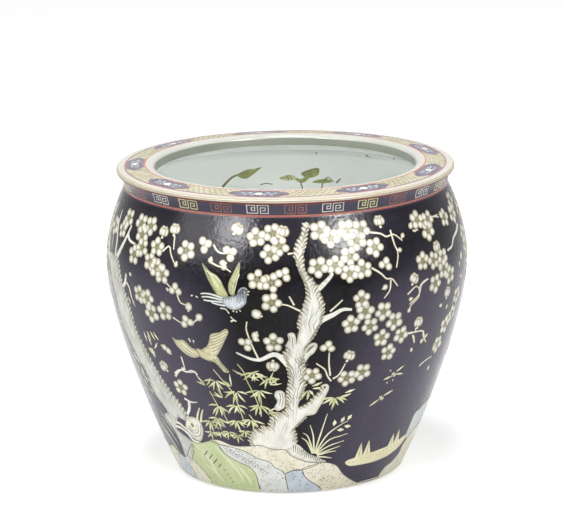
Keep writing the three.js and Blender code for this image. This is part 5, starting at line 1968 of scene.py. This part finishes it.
@dataclass
class Studio:
    """The plain floor, the soft light and the camera at the photograph's angle."""

    picture_width: int = 563
    picture_height: int = 532
    focal_pixels: float = 3596.0
    distance: float = 4.064
    elevation: float = 14.34  # degrees
    target_height: float = 0.174
    target_pixel: Point = (287.78, 313.75)  # where the target stands in the picture
    roll: float = 0.94  # degrees, the right side higher
    lamps_aim: float = 0.2  # height that the lamps look at
    plain_light: float = 0.46  # strength of the backdrop's light on what isn't glossy
    floor_glow: Point = (0.46, 0.08)  # the floor's own light where it is seen or mirrored, and everywhere

    def camera(self) -> bpy.types.Object:
        """The camera, turned so that the target falls on its pixel without any shift."""
        data = bpy.data.cameras.new("studio_camera")
        data.sensor_fit, data.sensor_width = "HORIZONTAL", 36.0
        data.lens = self.focal_pixels * data.sensor_width / self.picture_width
        data.clip_end = 50.0
        lift, lean = math.radians(self.elevation), math.radians(self.roll)
        forward = Vector((0.0, math.cos(lift), -math.sin(lift)))
        right, up = Vector((1.0, 0.0, 0.0)), Vector((0.0, math.sin(lift), math.cos(lift)))
        rolled_right = right * math.cos(lean) - up * math.sin(lean)
        rolled_up = right * math.sin(lean) + up * math.cos(lean)
        basis = Matrix((rolled_right, rolled_up, -forward)).transposed()
        across = (self.target_pixel[0] - self.picture_width / 2.0) / self.focal_pixels
        above = -(self.target_pixel[1] - self.picture_height / 2.0) / self.focal_pixels
        aim = Vector((across, above, -1.0)).normalized()
        swing = Vector((0.0, 0.0, -1.0)).rotation_difference(aim).to_matrix()
        camera = bpy.data.objects.new("studio_camera", data)
        bpy.context.scene.collection.objects.link(camera)
        place = Vector((0.0, 0.0, self.target_height)) - forward * self.distance
        camera.matrix_world = Matrix.Translation(place) @ (basis @ swing.transposed()).to_4x4()
        bpy.context.scene.camera = camera
        return camera

    def _lamp(self, name: str, place: Place, size: Point, power: float, sheen: bool) -> None:
        """A soft lamp that looks at the pot.

        Args:
            name: Name of the lamp.
            place: Where it hangs, in metres.
            size: Width and height of its face, in metres.
            power: Its power in watts.
            sheen: Whether it shows only as a highlight on what is glossy.
        """
        data = bpy.data.lights.new(name, "AREA")
        data.shape, data.energy = "RECTANGLE", power
        data.size, data.size_y = size
        lamp = bpy.data.objects.new(name, data)
        bpy.context.scene.collection.objects.link(lamp)
        lamp.visible_diffuse = not sheen
        lamp.location = place
        look = Vector((0.0, 0.0, self.lamps_aim)) - Vector(place)
        lamp.rotation_euler = look.to_track_quat("-Z", "Y").to_euler()

    def _floor(self) -> None:
        """A round pale floor that shows white where nothing shades it."""
        sides, radius, under = 96, 12.0, -0.0002
        mesh = bpy.data.meshes.new("studio_floor")
        turns = [2 * math.pi * k / sides for k in range(sides)]
        rim = [(radius * math.cos(turn), radius * math.sin(turn), under) for turn in turns]
        mesh.from_pydata(rim, [], [tuple(range(sides))])
        floor = bpy.data.objects.new("studio_floor", mesh)
        bpy.context.scene.collection.objects.link(floor)
        material = bpy.data.materials.new("studio_floor")
        material.use_nodes = True
        tree = material.node_tree
        tree.nodes.clear()
        rays = tree.nodes.new("ShaderNodeLightPath").outputs
        seen = maths(tree, "MAXIMUM", rays["Is Camera Ray"], rays["Is Glossy Ray"])
        level = maths(tree, "MULTIPLY_ADD", seen, *self.floor_glow)
        glow = joined(tree, "ShaderNodeEmission", {"Strength": level})
        matt = joined(tree, "ShaderNodeBsdfDiffuse", {"Color": (0.86, 0.86, 0.86, 1.0)})
        both = joined(tree, "ShaderNodeAddShader", {0: matt.outputs["BSDF"], 1: glow.outputs["Emission"]})
        joined(tree, "ShaderNodeOutputMaterial", {"Surface": both.outputs["Shader"]})
        mesh.materials.append(material)

    def _world(self) -> None:
        """A white backdrop for what is seen or mirrored, and a plain light for the rest."""
        world = bpy.data.worlds.new("studio_world")
        world.use_nodes = True
        bpy.context.scene.world = world
        tree = world.node_tree
        tree.nodes.clear()
        rays = tree.nodes.new("ShaderNodeLightPath").outputs
        seen = rays["Is Camera Ray"]
        for label in ("Is Glossy Ray", "Is Transmission Ray"):
            seen = maths(tree, "MAXIMUM", seen, rays[label])
        level = joined(tree, "ShaderNodeMapRange", {"Value": seen, "To Min": self.plain_light, "To Max": 1.0})
        sky = joined(tree, "ShaderNodeBackground", {"Strength": level.outputs["Result"]})
        joined(tree, "ShaderNodeOutputWorld", {"Surface": sky.outputs["Background"]})

    def build(self) -> None:
        """Sets up the studio."""
        bpy.context.scene.view_settings.view_transform = "Standard"
        self.camera()
        self._floor()
        self._world()
        for name, place, size, power, sheen in (
            ("key_lamp", (1.59, -1.96, 1.43), (0.5, 0.5), 10.0, False),
            ("key_sheen", (1.6, -1.98, 1.42), (0.8, 0.8), 108.0, True),
            ("fill_lamp", (-1.31, -2.07, 1.58), (0.5, 0.5), 7.0, False),
            ("fill_sheen", (-1.5, -1.96, 1.62), (0.95, 0.8), 66.0, True),
            ("left_haze", (-1.95, -1.55, 1.45), (2.5, 1.7), 92.0, True),
            ("right_haze", (1.6, -1.98, 1.42), (2.0, 1.5), 48.0, True),
            ("top_lamp", (-0.15, -0.5, 2.6), (1.0, 1.0), 46.0, False),
            ("front_lamp", (-0.15, -1.15, 2.35), (1.0, 1.0), 25.0, False),
        ):
            self._lamp(name, place, size, power, sheen)


def main() -> None:
    """Builds the pot, its painting and the studio, and reports each piece."""
    logging.basicConfig(level=logging.INFO, format="%(name)s %(message)s")
    Studio().build()
    Body().build()
    Lines().build()
    KeyBorder().build()
    RimPanels().build()
    front, back, sides = Inks("front"), Inks("back"), Inks("sides")
    Garden(front, 0.0, 1, 3).build()
    Garden(back, 180.0, -1, 7).build()
    Bridge(sides, 92.0, 17).build()
    Bridge(sides, 268.0, 23).build()
    for inks in (front, back, sides):
        inks.made()
    WellSprays().build()


if __name__ == "__main__":
    main()
